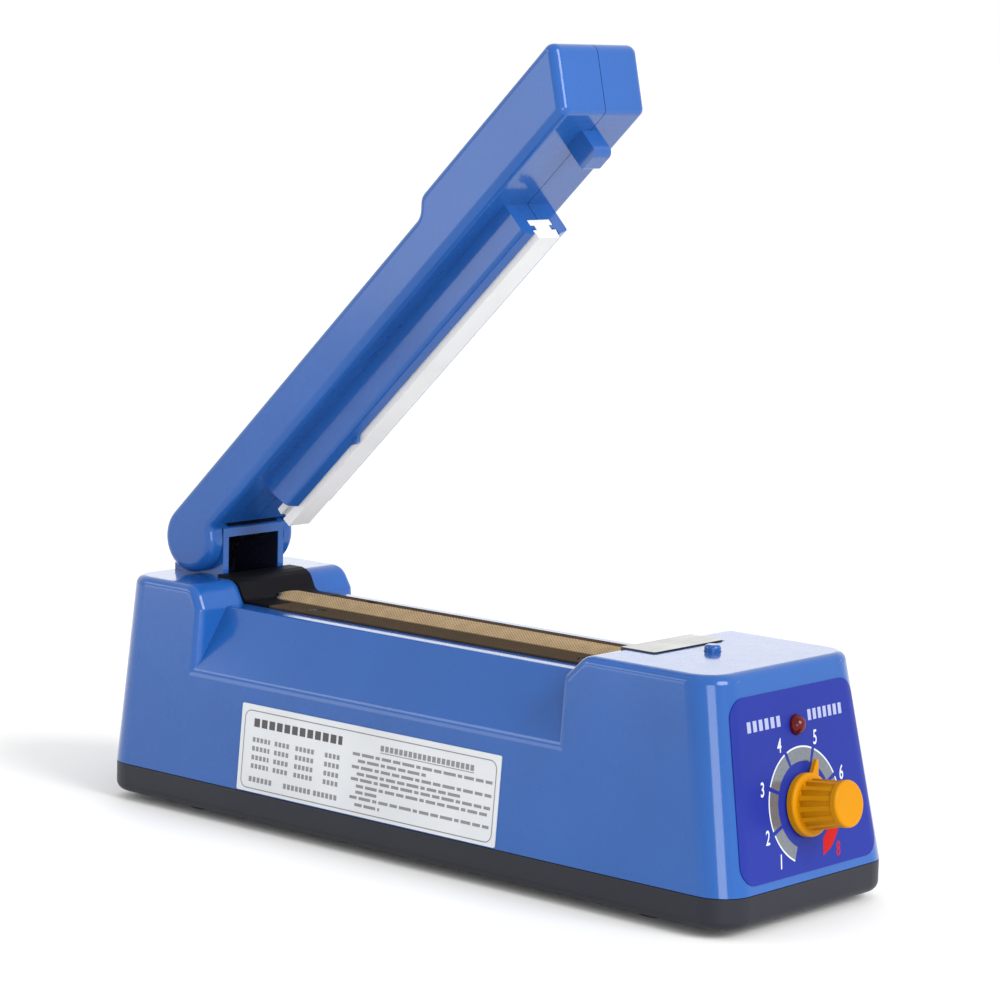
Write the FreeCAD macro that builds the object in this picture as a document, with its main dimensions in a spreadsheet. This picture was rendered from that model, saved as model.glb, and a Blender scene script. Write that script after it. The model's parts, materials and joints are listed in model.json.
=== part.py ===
"""Hand-operated impulse heat sealer, 100 mm size, as a parametric FreeCAD document.

Millimetres.  Sub-parts of the base are drawn about the middle of the base: +X towards
the control panel, +Y to the far side, +Z up, z = 0 where the feet rest.  Sub-parts of the
arm are drawn in the arm's own frame with the arm lying level: X along the arm from the
centre of its round cheeks, Z up.  Each sub-part's Placement then puts it into the row
frame, which shares the base's directions and has its origin under the middle of the
whole object.
"""
import FreeCAD, Part
import Sketcher
import math
import os
import re
from FreeCAD import Placement, Rotation, Vector

X_AXIS = Vector(1, 0, 0)
Y_AXIS = Vector(0, 1, 0)
Z_AXIS = Vector(0, 0, 1)

# ---------------------------------------------------------------- driving dimensions
DIMENSIONS = {
    # housing
    "base_length": 220.0, "base_width": 69.0, "parting_z": 10.3, "block_top": 62.5,
    "platform_z": 56.4, "platform_half": 20.2, "crease_z": 39.3, "crease_half": 31.95,
    "side_lean": 0.088, "front_lean": 0.188, "rear_lean": 0.047, "wall": 2.2,
    "corner_round": 9.0, "edge_round": 2.6,
    "front_block_x": 53.1, "front_crest_x": 59.4,
    "rear_block_x": -76.1, "rear_crest_x": -79.4,
    # tower and hinge
    "hinge_x": -94.37, "hinge_z": 74.34, "tower_front_x": -86.6, "tower_back_x": -106.0,
    "tower_half": 11.8, "window_half": 9.7, "window_top": 73.4, "tower_round": 6.7,
    "pin_radius": 2.0, "bush_radius": 3.0, "running_gap": 0.05,
    "collar_half": 1.5, "coil_radius": 3.3, "wire_radius": 0.45,
    # tray and feet
    "foot_height": 2.0, "foot_radius": 6.0, "foot_x": 80.0, "foot_y": 22.0,
    "reveal": 0.2, "boss_x": 97.0, "boss_y": 21.0, "boss_radius": 3.6, "screw_radius": 1.5,
    # sealing bar
    "bar_half": 14.1, "bar_rear_x": -66.0, "bar_front_x": 66.0, "flange_thick": 0.5,
    "ridge_foot_half": 4.6, "ridge_top_half": 2.5, "ridge_height": 1.6, "ridge_tip_x": -75.2,
    "strip_half": 1.9, "strip_thick": 0.25, "ribbon_half": 1.0, "ribbon_thick": 0.15,
    "cloth_thick": 0.3, "cloth_front_x": 61.5, "ribbon_end_x": -70.2, "terminal_x": 66.4,
    "bar_screw_y": 9.8, "bar_screw_rear_x": -52.3, "bar_screw_front_x": 44.0,
    # cord inlet in the rear wall
    "gland_radius": 5.0, "gland_bore": 3.3, "inlet_y": 12.0, "inlet_up": 13.0,
    # covers
    "cover_thick": 0.8, "plate_x": 58.7, "plate_end_x": 69.5, "plate_thick": 0.9, "gap": 0.3,
    "plate_proud": 0.35,
    # control panel, measured along the sloping front
    "dial_up": 18.35, "lamp_up": 38.2, "bushing_radius": 3.5, "shaft_radius": 3.0,
    "lamp_radius": 2.5, "label_thick": 0.3,
    # push button
    "button_x": 76.8, "button_radius": 2.1, "button_rise": 1.8,
    # arm, in its own frame
    "arm_half": 16.6, "cheek_radius": 9.6, "cheek_inner": 12.1, "pin_ahead": 2.63,
    "arm_under": 3.7, "arm_end": 181.2, "arm_end_top": 191.6, "grip_top": 13.3,
    "step_start": 126.2, "step_end": 130.0, "arm_wall": 2.4, "arm_round": 2.5,
    "pocket_end": 11.2, "swing_round": 7.2, "open_angle": 43.72, "seam_gap": 0.12,
    "rail_rear": 28.4, "rail_front": 146.0, "rail_half": 8.9, "rail_drop": 12.5,
    "lip_drop": 13.9, "lip_inside": 4.7, "tab_start": 167.9, "tab_end": 174.4, "tab_drop": 11.2,
    "slot_neck": 3.0, "slot_head": 4.5, "slot_roof": 8.9, "slot_floor": 11.0,
    "tooth_rear": 57.5, "tooth_tip": 60.8, "tooth_front": 63.2,
    "press_rear": 23.6, "press_drop": 15.04, "press_half": 4.0,
    # electrics
    "core_x": -26.0, "core_length": 48.0, "core_height": 40.0, "core_stack": 28.0,
    "core_leg": 8.0, "window_width": 8.0, "window_height": 24.0, "core_bottom": 6.2,
    "board_rear_x": 12.0, "board_front_x": 62.0, "board_half": 20.0, "board_z": 9.0,
    "board_thick": 1.6, "tray_floor": 2.2,
    # timer knob
    "knob_gap": 0.7, "skirt_radius": 7.9, "skirt_top": 2.8, "barrel_foot": 6.4,
    "barrel_end": 5.6, "knob_top": 14.0, "pointer_radius": 11.4, "pointer_turn": 23.0,
    "flute_radius": 0.8, "pointer_thick": 1.1,
    # switch and its bracket
    "switch_floor": 41.2, "bracket_x": 88.0, "floor_top": 4.2,
    # where the middle of the whole object lies along the base
    "origin_x": 5.04,
}

doc = FreeCAD.newDocument("impulse_heat_sealer")
sheet = doc.addObject("Spreadsheet::Sheet", "Dims")
for row, (alias, number) in enumerate(DIMENSIONS.items(), start=1):
    sheet.set(f"A{row}", alias)
    sheet.set(f"B{row}", str(number))
    sheet.setAlias(f"B{row}", alias)
doc.recompute()

D = DIMENSIONS


# ---------------------------------------------------------------- helpers
def formula(text):
    """Turn 'base_length/2 - wall' into an expression that reads the spreadsheet."""
    def cell(match):
        word = match.group(0)
        return f"Dims.{word}" if word in DIMENSIONS else word
    return re.sub(r"[a-z][a-z_]*[a-z]", cell, str(text))


def bind(thing, **sizes):
    """Bind properties to formulas; a double underscore in a name stands for a dot."""
    for name, text in sizes.items():
        thing.setExpression(name.replace("__", "."), formula(text))


def new_body(label):
    body = doc.addObject("PartDesign::Body", label)
    body.Label = label
    return body


def sketch_on(body, role, offset="0"):
    """A sketch on one of the body's origin planes, moved along that plane's normal."""
    sketch = body.newObject("Sketcher::SketchObject", f"{body.Name}_sketch")
    plane = [item for item in body.Origin.OriginFeatures if item.Role == role][0]
    sketch.AttachmentSupport = [(plane, "")]
    sketch.MapMode = "FlatFace"
    bind(sketch, AttachmentOffset__Base__z=offset)
    return sketch


def fix_point(sketch, geometry, corner, across, up):
    """Hold one point of a sketch at two formulas from the sketch's origin."""
    for kind, text in (("DistanceX", across), ("DistanceY", up)):
        number = sketch.addConstraint(Sketcher.Constraint(kind, -1, 1, geometry, corner, 1.0))
        sketch.setExpression(f"Constraints[{number}]", formula(text))


def polygon(sketch, corners):
    """A closed outline whose corners are pairs of formulas."""
    first = sketch.GeometryCount
    count = len(corners)
    spots = [Vector(math.cos(2 * math.pi * i / count), math.sin(2 * math.pi * i / count), 0)
             for i in range(count)]
    for i in range(count):
        sketch.addGeometry(Part.LineSegment(spots[i], spots[(i + 1) % count]), False)
    for i in range(count):
        following = first + (i + 1) % count
        sketch.addConstraint(Sketcher.Constraint("Coincident", first + i, 2, following, 1))
    for i, (across, up) in enumerate(corners):
        fix_point(sketch, first + i, 1, across, up)


def circle(sketch, across, up, radius):
    number = sketch.addGeometry(Part.Circle(Vector(1, 1, 0), Z_AXIS, 1.0), False)
    fix_point(sketch, number, 3, across, up)
    held = sketch.addConstraint(Sketcher.Constraint("Radius", number, 1.0))
    sketch.setExpression(f"Constraints[{held}]", formula(radius))


def pad(body, sketch, length, midplane=False, backwards=False):
    feature = body.newObject("PartDesign::Pad", f"{body.Name}_pad")
    feature.Profile = sketch
    feature.Midplane = midplane
    feature.Reversed = backwards
    bind(feature, Length=length)
    doc.recompute()
    return feature


def pocket(body, sketch, length=None, midplane=False, backwards=False):
    """Cut a sketch out of a body: by a length, or all through when none is given."""
    before = body.Shape.Volume
    feature = body.newObject("PartDesign::Pocket", f"{body.Name}_pocket")
    feature.Profile = sketch
    feature.Midplane = midplane
    feature.Reversed = backwards
    if length is None:
        feature.Type = "ThroughAll"
    else:
        bind(feature, Length=length)
    doc.recompute()
    if not body.Shape.Volume < before - 0.01:
        raise RuntimeError(f"{feature.Name} in {body.Label} cuts nothing")
    return feature


def edges_where(shape, test):
    return [f"Edge{i}" for i, edge in enumerate(shape.Edges, start=1) if test(edge)]


def round_edges(body, radius, test):
    """A fillet on every edge of the body that passes the test."""
    names = edges_where(body.Shape, test)
    if not names:
        raise RuntimeError(f"no edges to round in {body.Label}")
    rounded = body.Tip
    feature = body.newObject("PartDesign::Fillet", f"{body.Name}_fillet")
    feature.Base = (rounded, names)
    bind(feature, Radius=radius)
    doc.recompute()
    if "Invalid" in feature.State or feature.Shape.isNull() or not feature.Shape.isValid():
        raise RuntimeError(f"fillet of {len(names)} edges failed in {body.Label}")
    return feature


def close(a, b, slack=0.05):
    return abs(a - b) < slack


def near(edge, along, up, width=10):
    """Whether an edge runs across at this spot of the side view."""
    middle = edge.CenterOfMass
    return (edge.BoundBox.YLength > width and close(middle.x, along, 0.3)
            and close(middle.z, up, 0.3))


def box(label, low, high):
    """A box between two corners, each given as three formulas."""
    thing = doc.addObject("Part::Box", label)
    bind(thing, Placement__Base__x=low[0], Placement__Base__y=low[1], Placement__Base__z=low[2],
         Length=f"({high[0]})-({low[0]})", Width=f"({high[1]})-({low[1]})",
         Height=f"({high[2]})-({low[2]})")
    return thing


def rod(label, start, direction, radius, length, flare=None):
    """A cylinder, or a cone when it flares, from a start point along a direction."""
    kind = "Part::Cylinder" if flare is None else "Part::Cone"
    thing = doc.addObject(kind, label)
    thing.Placement = Placement(Vector(), Rotation(Z_AXIS, direction))
    bind(thing, Placement__Base__x=start[0], Placement__Base__y=start[1],
         Placement__Base__z=start[2], Height=length)
    if flare is None:
        bind(thing, Radius=radius)
    else:
        bind(thing, Radius1=radius, Radius2=flare)
    return thing


def prism(label, role, corners, length, offset="0", midplane=False, backwards=False):
    """A body made by padding one closed outline."""
    body = new_body(label)
    sketch = sketch_on(body, role, offset)
    polygon(sketch, corners)
    pad(body, sketch, length, midplane, backwards)
    return body


def fuse(label, *shapes):
    thing = doc.addObject("Part::MultiFuse", label)
    thing.Shapes = list(shapes)
    thing.Refine = True
    doc.recompute()
    return thing


def cut(label, base, *tools):
    thing = doc.addObject("Part::Cut", label)
    thing.Base = base
    thing.Tool = tools[0] if len(tools) == 1 else fuse(f"{label}_tools", *tools)
    thing.Refine = True
    doc.recompute()
    return thing


def common(label, *shapes):
    thing = doc.addObject("Part::MultiCommon", label)
    thing.Shapes = list(shapes)
    doc.recompute()
    return thing


def group(label, *shapes):
    """Several separate solids kept in one sub-part."""
    thing = doc.addObject("Part::Compound", label)
    thing.Links = list(shapes)
    doc.recompute()
    return thing


nodes = {}


def keep(label, thing):
    """Register a finished sub-part under the name of its file."""
    thing.Label = label
    nodes[label] = thing
    return thing


def place_on_base(*things):
    for thing in things:
        bind(thing, Placement__Base__x="-origin_x")


def place_on_arm(*things):
    """Turn the level arm up about the hinge pin to where it rests open."""
    turn = Rotation(Y_AXIS, -D["open_angle"])
    pin = Vector(D["hinge_x"] - D["origin_x"], 0, D["hinge_z"])
    offset = turn.multVec(Vector(D["pin_ahead"], 0, 0))
    for thing in things:
        thing.Placement = Placement(pin - offset, turn)
        bind(thing, Placement__Rotation__Angle="-open_angle",
             Placement__Base__x="hinge_x - origin_x - pin_ahead*cos(open_angle)",
             Placement__Base__z="hinge_z - pin_ahead*sin(open_angle)")


def face_frame(origin, across, up):
    """A Placement whose X runs across a sloping face and whose Y runs up it."""
    return Placement(origin, Rotation(across, up, across.cross(up), "ZXY"))


front_up = Vector(-D["front_lean"], 0, 1).normalize()
front_frame = face_frame(Vector(D["base_length"] / 2 - D["origin_x"], 0, D["parting_z"]),
                         Y_AXIS, front_up)
side_up = Vector(0, D["side_lean"], 1).normalize()
side_frame = face_frame(Vector(-D["origin_x"], -D["base_width"] / 2, D["parting_z"]),
                        X_AXIS, side_up)


def place_on(frame, *things):
    for thing in things:
        thing.Placement = frame


# ---------------------------------------------------------------- housing
def housing_block(label, inset, bottom):
    """The blue housing as a solid, drawn smaller by an inset for its hollow inside."""
    top = f"(block_top - {inset})"
    deck = f"(platform_z - {inset})"
    front = f"(base_length/2 - {inset})"
    body = new_body(label)
    side = sketch_on(body, "XZ_Plane")
    polygon(side, [
        (f"-{front} + rear_lean*({bottom} - parting_z)", bottom),
        (f"{front} - front_lean*({bottom} - parting_z)", bottom),
        (f"{front} - front_lean*({top} - parting_z)", top),
        (f"front_crest_x + {inset}*0.4", top),
        (f"front_block_x + {inset}*0.4", deck),
        (f"rear_block_x - {inset}*0.5", deck),
        (f"rear_crest_x - {inset}*0.5", top),
        (f"-{front} + rear_lean*({top} - parting_z)", top),
    ])
    pad(body, side, "base_width + 2", midplane=True)

    half = f"(base_width/2 - {inset})"
    draft = sketch_on(body, "YZ_Plane")
    for sign in ("", "-"):
        polygon(draft, [
            (f"{sign}({half} + side_lean*5)", "parting_z - 5"),
            (f"{sign}({half} + 8)", "parting_z - 5"),
            (f"{sign}({half} + 8)", "block_top + 5"),
            (f"{sign}({half} - side_lean*(block_top + 5 - parting_z))", "block_top + 5"),
        ])
    pocket(body, draft, midplane=True)

    slant = "((platform_z - crease_z)/(crease_half - platform_half))"
    shoulder = f"(platform_half - 0.46*{inset})"
    slopes = sketch_on(body, "YZ_Plane", f"front_block_x + {inset}")
    for sign in ("", "-"):
        polygon(slopes, [
            (f"{sign}{shoulder}", deck),
            (f"{sign}base_width", f"{deck} - (base_width - {shoulder})*{slant}"),
            (f"{sign}base_width", "block_top + 5"),
            (f"{sign}{shoulder}", "block_top + 5"),
        ])
    pocket(body, slopes, f"front_block_x - rear_block_x + 2*{inset}")
    return body


def along_y(edge):
    return edge.BoundBox.XLength < 0.02 and edge.BoundBox.ZLength < 0.02


def is_corner(edge):
    return (edge.BoundBox.ZLength > 40 and abs(edge.CenterOfMass.x) > 95
            and abs(edge.CenterOfMass.y) > 25)


def is_crest(edge):
    middle = edge.CenterOfMass
    crests = (D["front_crest_x"], D["rear_crest_x"])
    return (along_y(edge) and close(middle.z, D["block_top"])
            and min(abs(middle.x - x) for x in crests) < 0.1)


def is_shoulder_foot(edge):
    """Where a block's shoulder meets its upright end, outboard of the platform."""
    middle = edge.CenterOfMass
    ends = (D["front_block_x"], D["rear_block_x"])
    return (along_y(edge) and close(middle.z, D["platform_z"])
            and min(abs(middle.x - x) for x in ends) < 0.1 and abs(middle.y) > 1)


def is_platform_edge(edge):
    return (edge.BoundBox.XLength > 100 and abs(edge.CenterOfMass.y) > 10
            and close(edge.CenterOfMass.z, D["platform_z"], 0.5))


def is_crease(edge):
    return edge.BoundBox.XLength > 100 and close(edge.CenterOfMass.z, D["crease_z"], 1.5)


def is_rim(edge):
    """The edges round the top of both blocks and down their upright ends."""
    middle = edge.CenterOfMass
    half = D["base_width"] / 2 - D["side_lean"] * (middle.z - D["parting_z"])
    on_side = close(abs(middle.y), half, 0.6)
    high = middle.z > D["platform_z"] + 1
    upright = edge.BoundBox.ZLength > 8 and (
        close(middle.x, D["front_block_x"], 0.6) or close(middle.x, D["rear_block_x"], 0.6))
    at_end = close(middle.z, D["block_top"]) and abs(middle.x) > 95
    return (on_side and (high or upright)) or at_end


def build_tower():
    """The hinge tower at the rear: a rounded head on a box open to the front."""
    half = "tower_half"
    head_x = "(hinge_x + tower_round*cos(50))"
    head_z = "(hinge_z + tower_round*sin(50))"
    heel_x = "(hinge_x - tower_round*cos(23.3))"
    heel_z = "(hinge_z + tower_round*sin(23.3))"
    walls = prism("tower_walls", "XZ_Plane", [
        ("tower_back_x", "platform_z + 2"), ("tower_front_x", "platform_z + 2"),
        ("tower_front_x", "window_top + 2.4"), (head_x, head_z), (heel_x, heel_z),
        ("tower_back_x", "block_top + 1.5")], f"2*{half}", midplane=True)
    head = rod("tower_head", ("hinge_x", f"-{half}", "hinge_z"), Y_AXIS, "tower_round",
               f"2*{half}")
    return fuse("tower", walls, head)


def tower_openings():
    """The window, the hollow behind it and the holes for the hinge bushes."""
    hollow = prism("tower_hollow", "XZ_Plane", [
        ("tower_back_x + 2", "platform_z - 4"), ("tower_front_x - 2", "platform_z - 4"),
        ("tower_front_x - 2", "block_top"), ("tower_front_x + 2", "block_top"),
        ("tower_front_x + 2", "window_top"), ("hinge_x - 5", "window_top"),
        ("tower_back_x + 2", "block_top + 2")], "2*window_half", midplane=True)
    crown = rod("tower_crown", ("hinge_x", "-window_half", "hinge_z"), Y_AXIS,
                "tower_round - 2", "2*window_half")
    holes = rod("bush_holes", ("hinge_x", "-tower_half - 1", "hinge_z"), Y_AXIS,
                "bush_radius", "2*tower_half + 2")
    return fuse("tower_openings", hollow, crown, holes)


def screw_bosses():
    """Four posts inside the housing that take the screws of the tray."""
    posts = []
    pilots = []
    for x in ("boss_x", "-boss_x"):
        for y in ("boss_y", "-boss_y"):
            posts.append(rod("boss", (x, y, "parting_z + 2"), Z_AXIS, "boss_radius",
                             "block_top - parting_z - 3.5"))
            pilots.append(rod("boss_pilot", (x, y, "parting_z"), Z_AXIS,
                              "screw_radius + 0.02", "16"))
    return fuse("bosses", *posts), fuse("boss_pilots", *pilots)


def build_housing():
    shell = housing_block("housing_outside", "0", "parting_z")
    round_edges(shell, "corner_round", is_corner)
    round_edges(shell, "5", is_crest)
    round_edges(shell, "2", is_shoulder_foot)
    round_edges(shell, "1.2", is_platform_edge)
    round_edges(shell, "edge_round", is_rim)
    round_edges(shell, "4", is_crease)
    hollow = housing_block("housing_inside", "wall", "parting_z - 1")
    round_edges(hollow, "corner_round - wall", is_corner)
    posts, pilots = screw_bosses()
    skin = cut("housing_skin", shell, hollow)
    bed_block = box("bed_block", ("front_block_x - 2", "-bar_half - wall", "platform_z - wall"),
                    ("plate_end_x + wall", "bar_half + wall", "block_top - 1"))
    bed = common("plate_surround", bed_block, shell)
    solid = fuse("housing_with_posts", skin, build_tower(), posts, bed)

    plate_bed = box("plate_bed", ("front_block_x - 1", "-bar_half - 0.25", "platform_z"),
                    ("plate_end_x + gap", "bar_half + 0.25", "block_top + 1"))
    button_hole = rod("button_hole", ("button_x", "0", "platform_z"), Z_AXIS,
                      "button_radius + 0.2", "10")
    ledges = [box("plate_ledge", ("plate_x + 2.5", low, "block_top - plate_thick - 1.6"),
                  ("plate_end_x + 1", high, "block_top - plate_thick"))
              for low, high in (("bar_half - 1.8", "bar_half + 1"),
                                ("-bar_half - 1", "-bar_half + 1.8"))]
    ribbon_slot = box("ribbon_slot", ("ribbon_end_x - 0.5", "-1.4", "platform_z - 3"),
                      ("ribbon_end_x + 0.5", "1.4", "platform_z + 1"))
    terminal_slot = box("terminal_slot", ("terminal_x - 0.2", "-2.8", "platform_z - 3"),
                        ("terminal_x + 1.2", "2.8", "platform_z + 1"))
    bar_holes = [rod("bar_hole", (x, y, "platform_z - 5"), Z_AXIS, "1.3", "6")
                 for x in ("bar_screw_rear_x", "bar_screw_front_x")
                 for y in ("bar_screw_y", "-bar_screw_y")]
    spindle_hole = rod("spindle_hole", ("0", "dial_up", "-6"), Z_AXIS,
                       "bushing_radius + 0.1", "8")
    lamp_hole = rod("lamp_hole", ("0", "lamp_up", "-6"), Z_AXIS, "lamp_radius + 0.1", "8")
    panel_holes = fuse("panel_holes", spindle_hole, lamp_hole)
    panel_holes.Placement = face_frame(Vector(D["base_length"] / 2, 0, D["parting_z"]),
                                       Y_AXIS, front_up)
    inlet_hole = group("inlet_hole", rod("inlet_hole_rod", ("0", "0", "-6"), Z_AXIS,
                                         "gland_radius", "8"))
    inlet_hole.Placement = inlet_frame(Vector())
    opened = cut("housing_opened", solid, tower_openings(), pilots, plate_bed, button_hole,
                 panel_holes, inlet_hole, ribbon_slot, terminal_slot, *bar_holes)
    return shell, fuse("housing", opened, *ledges)


def inlet_frame(shift):
    """The middle of the cord inlet on the leaning rear wall, facing out."""
    rear_up = Vector(D["rear_lean"], 0, 1).normalize()
    middle = (Vector(-D["base_length"] / 2, -D["inlet_y"], D["parting_z"])
              + rear_up * D["inlet_up"] + shift)
    return face_frame(middle, Vector(0, -1, 0), rear_up)


housing_outside, housing = build_housing()
place_on_base(keep("upper_housing", housing))


# ---------------------------------------------------------------- tray, feet, screws
floor_spots = [(x, y) for x in ("core_x + core_length/2 + 4.6", "core_x - core_length/2 - 4.6",
                                "bracket_x + 5.5") for y in ("4", "-4")]


def rounded_block(label, inset, low, high):
    """A block with the base's plan shape, drawn smaller by an inset."""
    body = new_body(label)
    outline = sketch_on(body, "XY_Plane", low)
    polygon(outline, rectangle(f"(base_length/2 - {inset})", f"(base_width/2 - {inset})"))
    pad(body, outline, f"({high}) - ({low})")
    round_edges(body, f"corner_round - ({inset})",
                lambda e: e.BoundBox.XLength + e.BoundBox.YLength < 0.1)
    return body


def build_tray():
    """The dark bottom tray: a shallow pan with a lip that locates the housing."""
    body = new_body("tray")
    half_length = "base_length/2"
    half_width = "base_width/2"
    outline = sketch_on(body, "XY_Plane", "foot_height")
    polygon(outline, rectangle(half_length, half_width))
    pad(body, outline, "parting_z - reveal - foot_height")
    round_edges(body, "corner_round", lambda e: e.BoundBox.ZLength > 5)
    round_edges(body, "2.5", lambda e: close(e.CenterOfMass.z, D["foot_height"]))
    inside = rounded_block("tray_inside", "wall", "foot_height + tray_floor", "parting_z + 1")
    pan = cut("tray_pan", body, inside)

    lip_out = rounded_block("lip_outside", "wall + 0.45", "foot_height + tray_floor",
                            "parting_z + 1.6")
    lip_in = rounded_block("lip_inside", "wall + 1.9", "foot_height", "parting_z + 3")
    lip = cut("lip", lip_out, lip_in)
    posts = []
    holes = [rod("floor_pilot", (x, y, "floor_top - 1.5"), Z_AXIS, "screw_radius + 0.02", "3")
             for x, y in floor_spots]
    for x in ("boss_x", "-boss_x"):
        for y in ("boss_y", "-boss_y"):
            posts.append(rod("tray_post", (x, y, "foot_height + 1"), Z_AXIS, "boss_radius",
                             "parting_z + 1.9 - foot_height - 1"))
            holes.append(rod("tray_hole", (x, y, "0"), Z_AXIS, "screw_radius + 0.1", "20"))
            holes.append(rod("tray_bore", (x, y, "0"), Z_AXIS, "3.1", "foot_height + 2.5"))
    for x in ("board_rear_x + 4", "board_front_x - 4"):
        for y in ("board_half - 4", "-board_half + 4"):
            posts.append(rod("board_post", (x, y, "foot_height + 1"), Z_AXIS, "2.6",
                             "board_z - foot_height - 1"))
            holes.append(rod("board_pilot", (x, y, "board_z - 4"), Z_AXIS, "1.05", "6"))
    vents = []
    for i in range(7):
        x = f"(core_x - 18 + {6 * i})"
        vents.append(box("vent", (f"{x} - 1.2", "-12", "0"), (f"{x} + 1.2", "12", "8")))
    pan_with_posts = fuse("tray_with_posts", pan, lip, *posts)
    return cut("tray_cut", pan_with_posts, *holes, *vents)


def rectangle(half_x, half_y):
    return [(f"-{half_x}", f"-{half_y}"), (half_x, f"-{half_y}"), (half_x, half_y),
            (f"-{half_x}", half_y)]


place_on_base(keep("bottom_tray", build_tray()))

feet = [rod("foot", (x, y, "0"), Z_AXIS, "foot_radius - 0.6", "foot_height", "foot_radius")
        for x in ("foot_x", "-foot_x") for y in ("foot_y", "-foot_y")]
place_on_base(keep("rubber_feet", group("feet", *feet)))


def screw(x, y, head_z, shank_top):
    """A pan-head screw that enters upwards."""
    head = rod("screw_head", (x, y, f"{head_z} - 1.8"), Z_AXIS, "2.8", "1.8")
    shank = rod("screw_shank", (x, y, f"{head_z} - 0.2"), Z_AXIS, "screw_radius",
                f"{shank_top} - {head_z} + 0.2")
    return fuse("screw", head, shank)


tray_screws = [screw(x, y, "(foot_height + 2.5)", "(parting_z + 14)")
               for x in ("boss_x", "-boss_x") for y in ("boss_y", "-boss_y")]
place_on_base(keep("tray_screws", group("tray_screw_set", *tray_screws)))


# ---------------------------------------------------------------- sealing bar
def ridge_outline(grow):
    """Section of the ridge across the base, from the flange's top up."""
    foot = f"(ridge_foot_half + {grow})"
    top = f"(ridge_top_half + {grow}*0.7)"
    low = "(platform_z)"
    shoulder = f"(platform_z + flange_thick + {grow})"
    high = f"(platform_z + flange_thick + ridge_height + {grow})"
    return [(f"-{foot}", low), (foot, low), (foot, shoulder), (top, high),
            (f"-{top}", high), (f"-{foot}", shoulder)]


def tip_cuts(name, grow):
    """Wedges that bring the rear end of the ridge to a point."""
    tip = f"(ridge_tip_x - {grow})"
    slope = prism(f"{name}_slope", "XZ_Plane", [
        (f"{tip} - 3", "platform_z + 0.9"), (tip, "platform_z + 0.9"),
        (f"{tip} + 4.5", "block_top - 1"), (f"{tip} - 3", "block_top - 1")],
        "30", midplane=True)
    flanks = [prism(f"{name}_flank", "XY_Plane", [
        (f"{tip} - 3", f"{sign}1.2"), (tip, f"{sign}1.2"), (f"{tip} + 6", f"{sign}7"),
        (f"{tip} - 3", f"{sign}7")], "block_top") for sign in ("", "-")]
    return [slope, *flanks]


ridge_length = "bar_front_x - ridge_tip_x"
ridge_top = "(platform_z + flange_thick + ridge_height)"
flange = box("bar_flange", ("bar_rear_x", "-bar_half + cloth_thick", "platform_z"),
             ("bar_front_x", "bar_half - cloth_thick", "platform_z + flange_thick"))
ridge = prism("bar_ridge", "YZ_Plane", ridge_outline("0"), ridge_length, "ridge_tip_x")
bar_body = fuse("bar_joined", flange, cut("bar_ridge_pointed", ridge, *tip_cuts("bar", "0")))
screw_ways = fuse("bar_screw_ways", *[
    rod("bar_screw_way", (x, y, "platform_z - 1"), Z_AXIS, "2.5", "3")
    for x in ("bar_screw_rear_x", "bar_screw_front_x") for y in ("bar_screw_y", "-bar_screw_y")])
ribbon_way = box("ribbon_way", ("ribbon_end_x - 0.4", "-1.3", "platform_z - 1"),
                 ("ribbon_end_x + 0.25", "1.3", "block_top"))
sealing_bar = cut("bar_finished", bar_body, screw_ways, ribbon_way)
keep("sealing_bar", sealing_bar)

strip_top = f"({ridge_top} + strip_thick)"
strip = box("strip", ("ribbon_end_x + 0.3", "-strip_half", ridge_top),
            ("bar_front_x", "strip_half", strip_top))
ribbon = fuse("ribbon",
              box("ribbon_flat", ("ribbon_end_x - 0.1", "-ribbon_half", strip_top),
                  ("bar_front_x", "ribbon_half", f"{strip_top} + ribbon_thick")),
              box("ribbon_tail", ("ribbon_end_x - 0.1", "-ribbon_half", "platform_z - 5"),
                  ("ribbon_end_x + 0.05", "ribbon_half", f"{strip_top} + ribbon_thick")))
place_on_base(keep("insulating_strip", group("strip_part", strip)),
              keep("heating_ribbon", group("ribbon_part", ribbon)))

cloth_flat = box("cloth_flat", ("bar_rear_x", "-bar_half", "platform_z"),
                 ("cloth_front_x", "bar_half", "platform_z + flange_thick + cloth_thick"))
cloth_ridge = prism("cloth_ridge", "YZ_Plane", ridge_outline("cloth_thick"),
                    "cloth_front_x - ridge_tip_x + cloth_thick", "ridge_tip_x - cloth_thick")
cloth_bulge = box("cloth_bulge", ("ribbon_end_x - 0.5", "-ribbon_half - 0.5", ridge_top),
                  ("cloth_front_x", "ribbon_half + 0.5",
                   f"{strip_top} + ribbon_thick + cloth_thick"))
cloth_solid = fuse("cloth_solid", cloth_flat, cut("cloth_ridge_pointed", cloth_ridge,
                                                  *tip_cuts("cloth", "cloth_thick")),
                   cloth_bulge)
cloth_under = box("cloth_under", ("ridge_tip_x - 2", "-bar_half + cloth_thick", "platform_z - 1"),
                  ("cloth_front_x + 1", "bar_half - cloth_thick", "platform_z + flange_thick"))
cloth_ways = box("cloth_way", ("ribbon_end_x - 0.4", "-1.3", "platform_z - 1"),
                 ("ribbon_end_x + 0.25", "1.3", f"{strip_top} + ribbon_thick"))
cloth = cut("cloth_shell", cloth_solid, bar_body, strip, ribbon, screw_ways, cloth_under,
            cloth_ways)
keep("ptfe_cloth", cloth)
place_on_base(sealing_bar, cloth)

bar_screws = []
for x in ("bar_screw_rear_x", "bar_screw_front_x"):
    for y in ("bar_screw_y", "-bar_screw_y"):
        head = rod("bar_screw_head", (x, y, "platform_z"), Z_AXIS, "2.3", "0.45")
        shank = rod("bar_screw_shank", (x, y, "platform_z - 4.5"), Z_AXIS, "1.25", "4.6")
        bar_screws.append(fuse("bar_screw", head, shank))
place_on_base(keep("bar_screws", group("bar_screw_set", *bar_screws)))


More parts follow.
